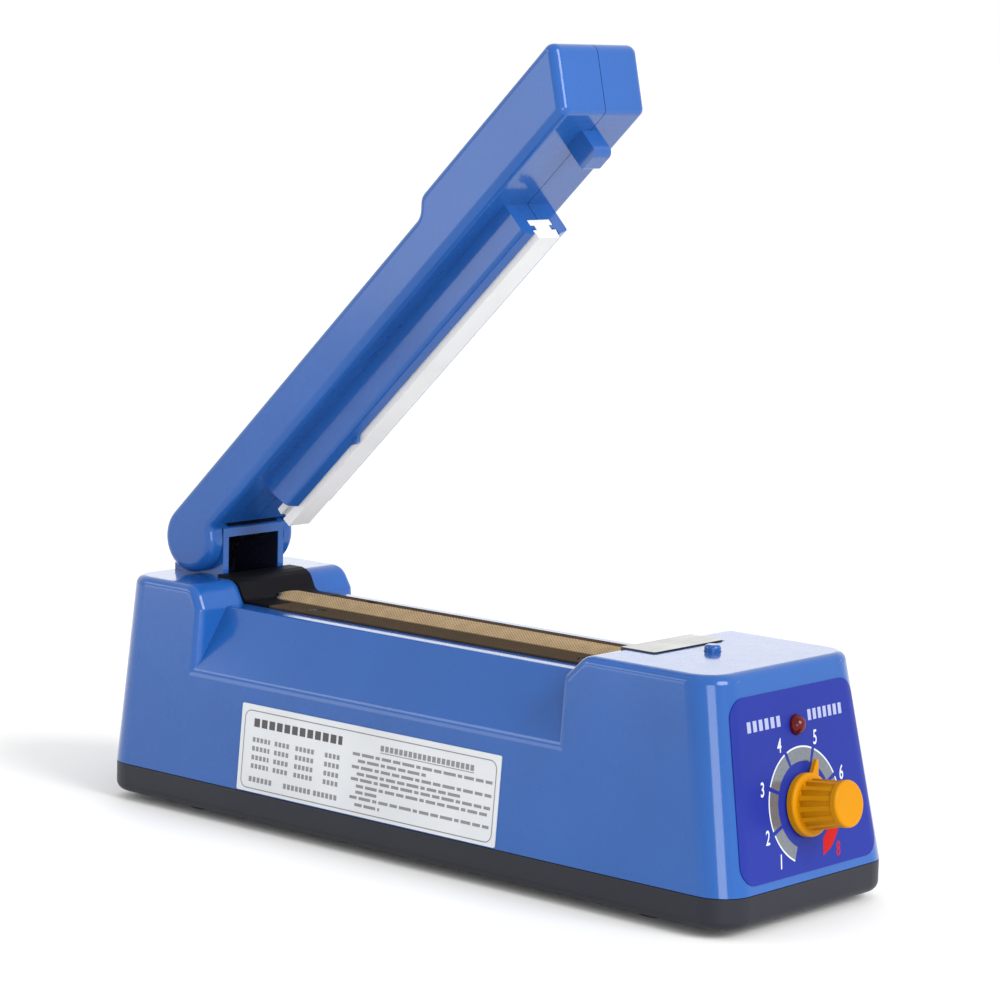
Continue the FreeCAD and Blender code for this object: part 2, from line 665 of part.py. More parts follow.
# ---------------------------------------------------------------- covers on the top
def build_rear_cover():
    """The black apron from the tower's window over the shoulder to the platform."""
    under = [("tower_front_x + gap", "block_top"), ("rear_crest_x - 2.2", "block_top"),
             ("rear_crest_x - 0.6", "block_top - 0.45"), ("rear_crest_x + 0.85", "block_top - 1.5"),
             ("rear_block_x + 0.1", "platform_z"), ("bar_rear_x - gap", "platform_z")]
    ahead = ["0", "0.1", "0.35", "cover_thick*0.8", "cover_thick*0.55", "0"]
    over = [(f"{x} + {dx}", f"{z} + cover_thick") for (x, z), dx in zip(under, ahead)]
    apron = prism("apron", "XZ_Plane", under + over[::-1], "2*bar_half", midplane=True)
    crest = D["rear_crest_x"] + 0.85 + D["cover_thick"] * 0.8
    foot = D["rear_block_x"] + 0.1 + D["cover_thick"] * 0.55
    round_edges(apron, "2.5", lambda e: near(e, crest, D["block_top"] - 1.5 + D["cover_thick"])
                or near(e, foot, D["platform_z"] + D["cover_thick"]))
    wide = "(ridge_foot_half + cloth_thick + 0.15)"
    tip = "(ridge_tip_x - cloth_thick)"
    way = prism("apron_way", "XY_Plane", [
        (f"{tip} - 0.3", "-1.6"), (f"{tip} + 3.9", f"-{wide}"), ("bar_rear_x + 1", f"-{wide}"),
        ("bar_rear_x + 1", wide), (f"{tip} + 3.9", wide), (f"{tip} - 0.3", "1.6")],
        "4", "platform_z - 1")
    return cut("apron_slotted", apron, way)


place_on_base(keep("rear_cover", build_rear_cover()))


def build_front_plate():
    body = new_body("front_plate")
    outline = sketch_on(body, "XY_Plane", "block_top - plate_thick")
    polygon(outline, [("plate_x", "-bar_half"), ("plate_end_x", "-bar_half"),
                      ("plate_end_x", "bar_half"), ("plate_x", "bar_half")])
    pad(body, outline, "plate_thick + plate_proud")
    round_edges(body, "1.2", lambda e: e.BoundBox.ZLength > 0.5 and e.CenterOfMass.x > 65)
    return body


place_on_base(keep("front_cover_plate", build_front_plate()))


# ---------------------------------------------------------------- terminals of the ribbon
contact_z = f"({strip_top} + ribbon_thick)"
front_terminal = fuse(
    "front_contact",
    box("contact_plate", ("cloth_front_x + 0.4", "-3.5", contact_z),
        ("terminal_x + 1", "3.5", f"{contact_z} + 1")),
    box("contact_leg", ("terminal_x", "-2.5", "platform_z - 4"),
        ("terminal_x + 1", "2.5", f"{contact_z} + 1")))
place_on_base(keep("front_terminal", front_terminal))

rear_block = box("rear_contact_block", ("ribbon_end_x - 4.1", "-4", "platform_z - wall - 4"),
                 ("ribbon_end_x - 0.1", "4", "platform_z - wall"))
rear_hole = rod("rear_contact_hole", ("ribbon_end_x - 5", "2.6", "platform_z - wall - 2"),
                X_AXIS, "1.02", "6")
place_on_base(keep("rear_terminal", cut("rear_contact", rear_block, rear_hole)))
rear_screw = fuse(
    "rear_contact_screw",
    rod("rear_contact_shank", ("ribbon_end_x - 4.1", "2.6", "platform_z - wall - 2"),
        X_AXIS, "1", "4.1"),
    rod("rear_contact_head", ("ribbon_end_x - 0.1", "2.6", "platform_z - wall - 2"),
        X_AXIS, "1.5", "1.2"))
place_on_base(keep("terminal_screw", rear_screw))


# ---------------------------------------------------------------- labels
def rounded_plate(label, corners, low, high, radius):
    body = new_body(label)
    outline = sketch_on(body, "XY_Plane", low)
    polygon(outline, corners)
    pad(body, outline, f"{high} - {low}")
    round_edges(body, radius, lambda e: e.BoundBox.ZLength > D["label_thick"] * 0.9
                and e.BoundBox.XLength + e.BoundBox.YLength < 0.1)
    return body


label_skin = housing_block("label_skin", "-label_thick", "parting_z")
round_edges(label_skin, "corner_round + label_thick", is_corner)
face_corners = [("-28", "2.1"), ("28", "2.1"), ("24.6", "47.3"), ("-24.6", "47.3")]
face_area = rounded_plate("panel_area", face_corners, "-6", "2", "5")
face_holes = fuse("label_holes",
                  rod("label_lamp_hole", ("0", "lamp_up", "-6"), Z_AXIS, "lamp_radius + 0.1",
                      "9"),
                  rod("label_dial_hole", ("0", "dial_up", "-6"), Z_AXIS, "4.9", "9"))
face_on_base = face_frame(Vector(D["base_length"] / 2, 0, D["parting_z"]), Y_AXIS, front_up)
place_on(face_on_base, face_area, face_holes)
panel_label = cut("panel_label_cut", common("panel_label_skin", label_skin, face_area),
                  housing_outside, face_holes)
place_on_base(keep("panel_label", panel_label))

rating_corners = [("-56.6", "0.3"), ("36.3", "0.3"), ("36.3", "23.8"), ("-56.6", "23.8")]
rating_label = rounded_plate("rating_plate", rating_corners, "0", "label_thick", "0.5")
place_on(side_frame, keep("rating_label", rating_label))


# ---------------------------------------------------------------- pilot lamp
lens = fuse("lens",
            rod("lens_stem", ("0", "lamp_up", "-5"), Z_AXIS, "lamp_radius - 0.05", "6"),
            rod("lens_flange", ("0", "lamp_up", "-3.4"), Z_AXIS, "lamp_radius + 0.6", "1.1"))
dome = doc.addObject("Part::Sphere", "lens_dome")
bind(dome, Placement__Base__y="lamp_up", Placement__Base__z="0.4", Radius="lamp_radius - 0.05",
     Angle1="0")
pilot_lamp = keep("pilot_lamp", fuse("lamp", lens, dome))
lamp_cup = rod("lamp_cup", ("0", "lamp_up", "-13"), Z_AXIS, "lamp_radius + 1.4", "9.5")
lamp_seat = rod("lamp_seat", ("0", "lamp_up", "-5.2"), Z_AXIS, "lamp_radius + 0.05", "3")
lamp_holder = keep("lamp_holder", cut("lamp_socket", lamp_cup, lamp_seat))


# ---------------------------------------------------------------- timer dial
pot_can = rod("pot_can", ("0", "dial_up", "-wall - 9.5"), Z_AXIS, "8", "9.5")
pot_bush = rod("pot_bush", ("0", "dial_up", "-wall - 1"), Z_AXIS, "bushing_radius",
               "wall + 1 + 2.6")
pot_bore = rod("pot_bore", ("0", "dial_up", "-wall - 8.4"), Z_AXIS,
               "shaft_radius + running_gap", "15")
pot_tags = [box("pot_tag", (f"{x} - 0.8", "dial_up - 13", "-wall - 6"),
                (f"{x} + 0.8", "dial_up - 6", "-wall - 5.4")) for x in (-4, 0, 4)]
potentiometer = keep("potentiometer", cut("pot", fuse("pot_solid", pot_can, pot_bush, *pot_tags),
                                          pot_bore))


def build_nut():
    body = new_body("pot_nut_body")
    outline = sketch_on(body, "XY_Plane", "0.05")
    spots = [(f"4.5*cos({60 * i})", f"dial_up + 4.5*sin({60 * i})") for i in range(6)]
    polygon(outline, spots)
    pad(body, outline, "2")
    hole = rod("pot_nut_hole", ("0", "dial_up", "-1"), Z_AXIS, "bushing_radius + 0.01", "5")
    return cut("pot_nut_cut", body, hole)


potentiometer_nut = keep("potentiometer_nut", build_nut())


def build_knob():
    """The fluted knob with its skirt and pointer, drawn about its own axis."""
    body = new_body("knob_body")
    skirt = sketch_on(body, "XY_Plane", "knob_gap")
    circle(skirt, "0", "0", "skirt_radius")
    pad(body, skirt, "skirt_top - knob_gap")
    round_edges(body, "0.8", lambda e: close(e.CenterOfMass.z, D["skirt_top"]))
    section = sketch_on(body, "XZ_Plane")
    polygon(section, [("0", "skirt_top - 1"), ("barrel_foot", "skirt_top - 1"),
                      ("barrel_foot", "skirt_top"), ("barrel_end", "knob_top - 2.2"),
                      ("barrel_end + 0.25", "knob_top - 1.8"), ("barrel_end + 0.25", "knob_top"),
                      ("0", "knob_top")])
    turned = body.newObject("PartDesign::Revolution", "knob_turned")
    turned.Profile = section
    turned.ReferenceAxis = (section, ["V_Axis"])
    turned.Angle = 360
    doc.recompute()
    round_edges(body, "0.7", lambda e: close(e.CenterOfMass.z, D["knob_top"]))
    flute = sketch_on(body, "XY_Plane", "skirt_top + 0.3")
    circle(flute, "0", "barrel_foot - 0.3", "flute_radius")
    groove = pocket(body, flute, "knob_top - skirt_top - 2.5", backwards=True)
    ring = body.newObject("PartDesign::PolarPattern", "knob_flutes")
    ring.Originals = [groove]
    ring.Axis = (flute, ["N_Axis"])
    ring.Angle = 360
    ring.Occurrences = 14
    body.Tip = ring
    doc.recompute()
    tongue = prism("knob_pointer", "XY_Plane",
                   [("-1.7", "6"), ("1.7", "6"), ("1", "skirt_radius + 0.6"),
                    ("0.4", "pointer_radius"), ("-0.4", "pointer_radius"),
                    ("-1", "skirt_radius + 0.6")],
                   "pointer_thick", "skirt_top - pointer_thick - 0.4")
    recess = rod("knob_recess", ("0", "0", "0"), Z_AXIS, "5", "3")
    bore = rod("knob_bore", ("0", "0", "0"), Z_AXIS, "shaft_radius + 0.01", "11.1")
    return cut("knob", fuse("knob_solid", body, tongue), recess, bore)


dial_frame = front_frame * Placement(Vector(0, D["dial_up"], 0),
                                     Rotation(Z_AXIS, -D["pointer_turn"]))
timer_knob = keep("timer_knob", build_knob())
shaft = group("shaft", rod("shaft_rod", ("0", "0", "-wall - 8"), Z_AXIS, "shaft_radius",
                           "wall + 8 + 11"))
keep("potentiometer_shaft", shaft)
place_on(front_frame, pilot_lamp, lamp_holder, potentiometer, potentiometer_nut)
place_on(dial_frame, timer_knob, shaft)


# ---------------------------------------------------------------- push button and switch
def build_button():
    top = "(block_top + button_rise)"
    body = new_body("button_body")
    stem = sketch_on(body, "XY_Plane", "block_top - 8.5")
    circle(stem, "button_x", "0", "button_radius")
    pad(body, stem, f"{top} - block_top + 8.5")
    collar = sketch_on(body, "XY_Plane", "block_top - 4.1")
    circle(collar, "button_x", "0", "button_radius + 1.3")
    pad(body, collar, "1.7")
    round_edges(body, "0.9", lambda e: close(e.CenterOfMass.z, D["block_top"] + D["button_rise"]))
    return body


place_on_base(keep("switch_button", build_button()))

switch_body = box("switch_case", ("button_x - 10", "-3.2", "switch_floor"),
                  ("button_x + 10", "3.2", "switch_floor + 10.2"))
switch_pin = rod("switch_pin", ("button_x", "0", "switch_floor + 9"), Z_AXIS, "1", "2.3")
switch_tags = [box("switch_tag", (f"button_x + {dx} - 0.3", "-2.4", "switch_floor + 1"),
                   (f"button_x + {dx} + 0.3", "2.4", "switch_floor + 2")) for dx in (-10.2, 10.2)]
micro_switch = fuse("switch", switch_body, switch_pin, *switch_tags)
place_on_base(keep("micro_switch", micro_switch))

bracket = fuse(
    "bracket",
    box("bracket_shelf", ("button_x - 12", "-7", "switch_floor - 1"),
        ("bracket_x + 1", "7", "switch_floor")),
    box("bracket_leg", ("bracket_x", "-7", "floor_top"), ("bracket_x + 1", "7", "switch_floor")),
    box("bracket_foot", ("bracket_x", "-7", "floor_top"), ("bracket_x + 9", "7", "floor_top + 1")))
bracket_holes = [rod("bracket_hole", ("bracket_x + 5.5", y, "0"), Z_AXIS, "screw_radius + 0.1", "8")
                 for y in ("4", "-4")]
place_on_base(keep("switch_bracket", cut("bracket_drilled", bracket, *bracket_holes)))


# ---------------------------------------------------------------- transformer
def core_box(label, low_x, high_x, low_z, high_z, stack="core_stack"):
    return box(label, (f"core_x + {low_x}", f"-{stack}/2", f"core_bottom + {low_z}"),
               (f"core_x + {high_x}", f"{stack}/2", f"core_bottom + {high_z}"))


yoke = "((core_height - window_height)/2)"
core = cut("core",
           core_box("core_block", "-core_length/2", "core_length/2", "0", "core_height"),
           core_box("core_window_rear", "-core_leg - window_width", "-core_leg", yoke,
                    f"{yoke} + window_height", "(core_stack + 2)"),
           core_box("core_window_front", "core_leg", "core_leg + window_width", yoke,
                    f"{yoke} + window_height", "(core_stack + 2)"))
place_on_base(keep("transformer_core", core))


def ring(label, inner_x, outer_x, inner_y, outer_y, low, high):
    """A rectangular ring round the middle leg of the core."""
    spans = []
    for name, half_x, half_y in (("outer", outer_x, outer_y), ("inner", inner_x, inner_y)):
        spans.append(box(f"{label}_{name}",
                         (f"core_x - {half_x}", f"-{half_y}", f"core_bottom + {yoke} + {low}"),
                         (f"core_x + {half_x}", f"{half_y}", f"core_bottom + {yoke} + {high}")))
    return cut(label, *spans)


bobbin = fuse("bobbin_solid",
              ring("bobbin_tube", "(core_leg + 0.1)", "(core_leg + 1)", "(core_stack/2 + 0.1)",
                   "(core_stack/2 + 1)", "0.2", "window_height - 0.2"),
              *[ring("bobbin_flange", "(core_leg + 0.1)", "(core_leg + 7.7)",
                     "(core_stack/2 + 0.1)", "(core_stack/2 + 8)", low, f"{low} + 0.9")
                for low in ("0.2", "11.6", "window_height - 1.1")])
place_on_base(keep("bobbin", bobbin))
primary = ring("primary", "(core_leg + 1.05)", "(core_leg + 7)", "(core_stack/2 + 1.05)",
               "(core_stack/2 + 7.2)", "1.2", "11.5")
secondary = ring("secondary", "(core_leg + 1.05)", "(core_leg + 6.4)", "(core_stack/2 + 1.05)",
                 "(core_stack/2 + 6.6)", "12.6", "window_height - 1.2")
place_on_base(keep("primary_winding", primary), keep("secondary_winding", secondary))

strap = fuse(
    "strap",
    core_box("strap_top", "-core_length/2 - 1", "core_length/2 + 1", "core_height",
             "core_height + 1", "14"),
    *[core_box("strap_side", low, high, "floor_top - core_bottom", "core_height + 1", "14")
      for low, high in (("-core_length/2 - 1", "-core_length/2"),
                        ("core_length/2", "core_length/2 + 1"))],
    *[core_box("strap_foot", low, high, "floor_top - core_bottom", "floor_top + 1 - core_bottom",
               "14")
      for low, high in (("-core_length/2 - 8", "-core_length/2"),
                        ("core_length/2", "core_length/2 + 8"))])
strap_holes = [rod("strap_hole", (f"core_x {sign} (core_length/2 + 4.6)", y, "0"), Z_AXIS,
                   "screw_radius + 0.1", "8") for sign in ("+", "-") for y in ("4", "-4")]
place_on_base(keep("transformer_strap", cut("strap_drilled", strap, *strap_holes)))

floor_screws = [fuse("floor_screw",
                     rod("floor_shank", (x, y, "floor_top - 1.4"), Z_AXIS, "screw_radius", "2.5"),
                     rod("floor_head", (x, y, "floor_top + 1"), Z_AXIS, "2.6", "1.5"))
                for x, y in floor_spots]
place_on_base(keep("floor_screws", group("floor_screw_set", *floor_screws)))

# ---------------------------------------------------------------- circuit board
board = box("board_plate", ("board_rear_x", "-board_half", "board_z"),
            ("board_front_x", "board_half", "board_z + board_thick"))
board_holes = []
board_screws = []
for x in ("board_rear_x + 4", "board_front_x - 4"):
    for y in ("board_half - 4", "-board_half + 4"):
        board_holes.append(rod("board_hole", (x, y, "board_z - 1"), Z_AXIS, "1.15", "4"))
        board_screws.append(fuse(
            "board_screw",
            rod("board_shank", (x, y, "board_z - 3.5"), Z_AXIS, "1", "5.2"),
            rod("board_head", (x, y, "board_z + board_thick"), Z_AXIS, "1.9", "1.3")))
place_on_base(keep("circuit_board", cut("board_drilled", board, *board_holes)))
place_on_base(keep("board_screws", group("board_screw_set", *board_screws)))

board_top = "(board_z + board_thick)"
relay = group("relay_block", box("relay_box", ("board_rear_x + 9", "-17", board_top),
                                 ("board_rear_x + 28", "-2", f"{board_top} + 15.5")))
capacitor = group("capacitor_can", rod("capacitor_rod", ("board_rear_x + 14", "9", board_top),
                                       Z_AXIS, "5", "16"))
triac = fuse("triac_joined",
             box("triac_case", ("board_front_x - 20", "-12", f"{board_top} + 3"),
                 ("board_front_x - 15.5", "-2", f"{board_top} + 18")),
             box("triac_fin", ("board_front_x - 15.5", "-14", board_top),
                 ("board_front_x - 13.5", "0", f"{board_top} + 24")))
resistors = [rod("resistor", ("board_rear_x + 24", f"{4 + 4 * i}", f"{board_top} + 1.3"), X_AXIS,
                 "1.2", "8") for i in range(3)]
place_on_base(keep("relay", relay), keep("capacitor", capacitor), keep("triac_on_fin", triac),
              keep("resistors", group("resistor_set", *resistors)))


# ---------------------------------------------------------------- cord inlet
inlet = fuse("inlet_solid",
             rod("inlet_body", ("0", "0", "-wall - 4"), Z_AXIS, "gland_radius - 0.1",
                 "wall + 4"),
             rod("inlet_flange", ("0", "0", "0"), Z_AXIS, "gland_radius + 1.6", "1.6",
                 "gland_radius + 0.8"),
             rod("inlet_ring", ("0", "0", "-wall - 1.5"), Z_AXIS, "gland_radius + 0.7", "1.4"))
inlet_bore = rod("inlet_bore", ("0", "0", "-8"), Z_AXIS, "gland_bore", "12")
cord_bushing = keep("cord_bushing", cut("inlet", inlet, inlet_bore))
place_on(inlet_frame(Vector(-D["origin_x"], 0, 0)), cord_bushing)


# ---------------------------------------------------------------- hinge
def hinge_rod(label, low, high, radius):
    """A cylinder across the arm on the hinge line, between two distances in Y."""
    return rod(label, ("hinge_x", low, "hinge_z"), Y_AXIS, radius, f"({high})-({low})")


def bush(side):
    ends = [(f"{side}(window_half - 0.8)", f"{side}tower_half"),
            (f"{side}(window_half - 0.8)", f"{side}window_half")]
    if side == "-":
        ends = [(high, low) for low, high in ends]
    sleeve = hinge_rod("bush_sleeve", *ends[0], "bush_radius")
    flange = hinge_rod("bush_flange", *ends[1], "3.8")
    bore = hinge_rod("bush_bore", "-tower_half - 1", "tower_half + 1", "pin_radius + running_gap")
    return cut("bush", fuse("bush_solid", sleeve, flange), bore)


place_on_base(keep("pivot_bushes", group("bush_pair", bush(""), bush("-"))))


def build_return_spring():
    """A torsion spring round the hinge pin, one leg down the tower's front wall."""
    body = new_body("spring_coil")
    wire = sketch_on(body, "XY_Plane")
    circle(wire, "coil_radius", "collar_half + 0.9", "wire_radius")
    coil = body.newObject("PartDesign::AdditiveHelix", "spring_turns")
    coil.Profile = wire
    coil.ReferenceAxis = ([item for item in body.Origin.OriginFeatures
                           if item.Role == "Y_Axis"][0], [""])
    coil.Mode = "pitch-height-angle"
    coil.LeftHanded = True
    bind(coil, Pitch="2*wire_radius + 0.15", Height="4.5*(2*wire_radius + 0.15)")
    doc.recompute()
    bind(body, Placement__Base__x="hinge_x", Placement__Base__z="hinge_z")
    far_y = "(collar_half + 0.9 + 4.5*(2*wire_radius + 0.15))"
    leg = rod("spring_leg", ("hinge_x - coil_radius - 0.09", far_y, "hinge_z - 0.2"),
              Vector(-5.6, 0, -12.7), "wire_radius", "14")
    hook = rod("spring_hook", ("hinge_x + coil_radius", "0.5", "hinge_z"), Y_AXIS,
               "wire_radius", "collar_half + 0.9 - wire_radius - 0.5")
    return group("spring", body, leg, hook)


place_on_base(keep("return_spring", build_return_spring()))


# ---------------------------------------------------------------- arm
def along_arm(edge, half, drop):
    """Whether an edge runs along the arm this far out and this far below its middle."""
    middle = edge.CenterOfMass
    return (edge.BoundBox.XLength > 100 and close(abs(middle.y), half)
            and close(middle.z, -drop))


def arm_cavity(side):
    """Everything taken out of one half: hollow, tower pocket and T-slot end."""
    seam = "-0.5" if side == "-" else "0.5"
    run = side == ""
    hollow = prism("arm_hollow", "XZ_Plane", [
        ("pocket_end + 3", "-arm_under + arm_wall"), ("pocket_end + 3", "cheek_radius - arm_wall"),
        ("step_start + 1", "cheek_radius - arm_wall"), ("step_end + 1", "grip_top - arm_wall"),
        ("arm_end_top - 4.3", "grip_top - arm_wall"), ("arm_end - 1.3", "-arm_under + arm_wall")],
        "arm_half - arm_wall + 0.5", seam, backwards=run)
    middle = "pin_ahead"
    pocket_half = "(cheek_inner)"
    low = prism("pocket_low", "XZ_Plane", [("-15", "-15"), ("pocket_end", "-15"),
                                           ("pocket_end", "0.01"), ("-15", "0.01")],
                f"2*{pocket_half}", midplane=True)
    front = prism("pocket_front", "XZ_Plane", [(middle, "-1"), ("pocket_end", "-1"),
                                               ("pocket_end", "swing_round"),
                                               (middle, "swing_round")],
                  f"2*{pocket_half}", midplane=True)
    rear = prism("pocket_rear", "XZ_Plane", [
        (middle, "0"), (f"{middle} + 20*cos(125)", "20*sin(125)"), ("-20", "20*sin(125)"),
        ("-20", "-15"), (middle, "-15")], f"2*{pocket_half}", midplane=True)
    arc = rod("pocket_arc", (middle, f"-{pocket_half}", "0"), Y_AXIS, "swing_round",
              f"2*{pocket_half}")
    return [hollow, low, front, rear, arc]


def rail_section(side):
    """Half of the rail under the arm, with its T-slot, drawn across the arm."""
    rough = [("rail_half", "-arm_under + 1"), ("rail_half", "-rail_drop - 0.4"),
             ("lip_inside", "-lip_drop"), ("lip_inside", "-rail_drop + 0.2"),
             ("slot_neck", "-slot_floor - 1"), ("slot_neck", "-slot_floor"),
             ("slot_head", "-slot_floor"), ("slot_head", "-slot_roof"), ("seam_gap", "-slot_roof"),
             ("seam_gap", "-arm_under + 1")]
    return [(f"{side}({across})", up) for across, up in rough]


arm_screw_spots = [("60", "3"), ("120", "4"), ("170", "5")]


def build_tab():
    """The tab under the handle that presses the button as the arm closes."""
    body = prism("tab", "XZ_Plane", [
        ("tab_start", "-arm_under"), ("tab_start", "-tab_drop"), ("tab_end", "-tab_drop"),
        ("tab_end", "-arm_under")], "6.6", "-3.2")
    round_edges(body, "2", lambda e: near(e, D["tab_end"], -D["tab_drop"], 5))
    round_edges(body, "0.6", lambda e: near(e, D["tab_start"], -D["tab_drop"], 5))
    return body


def build_arm_half(label, side):
    """One moulded half of the arm; the near half has side '-' and carries the tab."""
    run = side == ""
    seam = "seam_gap" if side == "-" else "-seam_gap"
    body = new_body(f"{label}_shell")
    outline = sketch_on(body, "XZ_Plane", seam)
    polygon(outline, [("0", "cheek_radius"), ("step_start", "cheek_radius"),
                      ("step_end", "grip_top"), ("arm_end_top", "grip_top"),
                      ("arm_end", "-arm_under"), ("0", "-arm_under")])
    pad(body, outline, "arm_half - seam_gap", backwards=run)
    cheek = sketch_on(body, "XZ_Plane", seam)
    circle(cheek, "0", "0", "cheek_radius")
    pad(body, cheek, "arm_half - seam_gap", backwards=run)
    heel = math.sqrt(D["cheek_radius"] ** 2 - D["arm_under"] ** 2)
    round_edges(body, "4", lambda e: near(e, D["step_start"], D["cheek_radius"])
                or near(e, D["step_end"], D["grip_top"]))
    round_edges(body, "2.6", lambda e: near(e, D["arm_end_top"], D["grip_top"]))
    round_edges(body, "2", lambda e: near(e, D["arm_end"], -D["arm_under"])
                or near(e, heel, -D["arm_under"]))
    round_edges(body, "arm_round", lambda e: e.BoundBox.YLength < 0.01
                and close(abs(e.CenterOfMass.y), D["arm_half"]))
    bosses = []
    holes = []
    for x, z in arm_screw_spots:
        bosses.append(rod("arm_boss", (x, f"{side}seam_gap", z), Vector(0, -1 if side else 1, 0),
                          "2.8", "arm_half - seam_gap - 1"))
        holes.append(rod("arm_hole", (x, f"-{side}1" if side else "-1", z),
                         Vector(0, -1 if side else 1, 0),
                         "1.2" if side else "1.6", "arm_half - 3" if side else "arm_half + 3"))
        if not side:
            holes.append(rod("arm_head_bore", (x, "arm_half - 2.2", z), Y_AXIS, "2.9", "4"))
    shell = cut(f"{label}_hollowed", body, *arm_cavity(side))
    rail = prism(f"{label}_rail", "YZ_Plane", rail_section(side), "rail_front - rail_rear",
                 "rail_rear")
    round_edges(rail, "1.2", lambda e: along_arm(e, D["rail_half"], D["rail_drop"] + 0.4))
    round_edges(rail, "0.5", lambda e: along_arm(e, D["lip_inside"], D["lip_drop"]))
    slant = prism(f"{label}_slant", "XZ_Plane", [
        ("rail_rear - 1", "-arm_under - 2"), ("rail_rear", "-arm_under - 2"),
        ("rail_rear + 3.1", "-lip_drop - 1"), ("rail_rear - 1", "-lip_drop - 1")], "40",
        midplane=True)
    parts = [shell, cut(f"{label}_rail_end", rail, slant), *bosses]
    if side:
        parts += [build_tab(), box("tab_root", ("tab_start", "-3.4", "-arm_under - 1"),
                                   ("tab_end", "-seam_gap", "-arm_under + arm_wall"))]
        parts.append(prism("lip_tooth", "XZ_Plane", [
            ("tooth_rear", "-lip_drop + 0.6"), ("tooth_tip - 0.5", "-lip_drop - 1"),
            ("tooth_tip + 0.3", "-lip_drop - 1"), ("tooth_front", "-lip_drop + 0.6")],
            "1", "lip_inside"))
    pin_hole = rod("pin_hole", ("pin_ahead", "-15.1", "0"), Y_AXIS, "pin_radius", "30.2")
    return cut(label, fuse(f"{label}_joined", *parts), pin_hole, *holes)


arm_near = keep("arm_near_half", build_arm_half("near_half", "-"))
arm_far = keep("arm_far_half", build_arm_half("far_half", ""))

arm_screws = []
for x, z in arm_screw_spots:
    shank = rod("arm_shank", (x, "-arm_half + 5.5", z), Y_AXIS, "1.2", "2*arm_half - 7.6")
    head = rod("arm_head", (x, "arm_half - 2.2", z), Y_AXIS, "2.6", "1.6")
    arm_screws.append(fuse("arm_screw", shank, head))
keep("arm_screws", group("arm_screw_set", *arm_screws))

pin = group("pin", rod("pin_rod", ("pin_ahead", "-15", "0"), Y_AXIS, "pin_radius", "30"))
keep("pivot_pin", pin)

collar_disc = rod("collar_disc", ("pin_ahead", "-collar_half", "0"), Y_AXIS, "4.2",
                  "2*collar_half")
collar_bore = rod("collar_bore", ("pin_ahead", "-2", "0"), Y_AXIS, "pin_radius", "4")
groove = cut("collar_groove",
             rod("groove_outside", ("pin_ahead", "0.2", "0"), Y_AXIS, "coil_radius + 0.6", "3"),
             rod("groove_inside", ("pin_ahead", "0.1", "0"), Y_AXIS, "coil_radius - 0.6", "4"))
collar = keep("spring_collar", cut("collar", collar_disc, collar_bore, groove))


def build_pressure_bar():
    """The white bar that slides into the rail: a T-shaped head above its pressing face."""
    half = [("press_half", "-press_drop"), ("press_half + 0.45", "-rail_drop + 0.05"),
            ("slot_neck - 0.15", "-rail_drop + 0.05"), ("slot_neck - 0.15", "-slot_floor + 0.15"),
            ("slot_head - 0.2", "-slot_floor + 0.15"), ("slot_head - 0.2", "-slot_roof - 0.15")]
    corners = half + [(f"-({across})", up) for across, up in half[::-1]]
    return prism("press_section", "YZ_Plane", corners, "rail_front - press_rear", "press_rear")


pressure_bar = keep("pressure_bar", build_pressure_bar())
place_on_arm(arm_near, arm_far, nodes["arm_screws"], pin, collar, pressure_bar)
# ---------------------------------------------------------------- checks and export
doc.recompute()
for thing in doc.Objects:
    if "Invalid" in thing.State or "Error" in thing.State:
        raise RuntimeError(f"{thing.Label} failed: {thing.State}")
os.makedirs("parts", exist_ok=True)
for label, thing in nodes.items():
    shape = thing.Shape
    if shape.isNull() or not shape.isValid():
        raise RuntimeError(f"{label} has no valid shape")
    shape.exportStep(f"parts/{label}.step")
    print(label, len(shape.Solids), round(shape.Volume, 1))
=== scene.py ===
"""Looks of the impulse heat sealer: materials, printing, cloth, floor, light and camera.

Lengths are metres, as in the frame. The print and the cloth are laid out in millimetres,
which MM turns into metres."""
import json
import math
import bmesh
import bpy
from mathutils import Matrix, Vector


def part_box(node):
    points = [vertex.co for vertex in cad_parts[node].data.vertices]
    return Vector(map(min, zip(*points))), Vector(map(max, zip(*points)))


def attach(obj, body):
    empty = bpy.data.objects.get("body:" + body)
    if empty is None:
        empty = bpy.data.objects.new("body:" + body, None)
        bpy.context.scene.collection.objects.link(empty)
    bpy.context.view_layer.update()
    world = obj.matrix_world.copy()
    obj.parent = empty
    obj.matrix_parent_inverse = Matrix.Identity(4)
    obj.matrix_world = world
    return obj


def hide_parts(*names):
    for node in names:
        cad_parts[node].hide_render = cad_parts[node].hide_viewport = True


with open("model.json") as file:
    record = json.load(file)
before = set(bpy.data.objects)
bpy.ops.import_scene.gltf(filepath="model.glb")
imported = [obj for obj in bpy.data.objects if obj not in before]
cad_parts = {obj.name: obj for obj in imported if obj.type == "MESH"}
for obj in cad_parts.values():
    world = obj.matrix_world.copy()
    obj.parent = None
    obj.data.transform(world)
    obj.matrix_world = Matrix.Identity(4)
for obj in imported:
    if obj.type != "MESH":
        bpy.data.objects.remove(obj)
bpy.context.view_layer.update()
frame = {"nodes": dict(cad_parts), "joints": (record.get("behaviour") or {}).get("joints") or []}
MM = 0.001


# ------------------------------------------------------------------ material helpers
# how many features of each kind of noise there are to the metre
CLOUDS = 28
FLOW_WAVES = 55
TARNISH = 70
GLOSS_PATCHES = 160
STAINS = 220
SMUDGES_AND_SHADOW_MOTTLE = 300
BRUSH_LINES = 900

# how much darker and lighter than its middle colour a material gets
CLOUDY = (0.93, 1.08)
TARNISHED = (0.85, 1.1)

# how much smoother and rougher than its middle roughness an uneven surface gets
SMOOTHER = 0.08
ROUGHER = 0.1

# the pitch of a wave texture's bands at a scale of 1
WAVE_PITCH = math.pi / 10


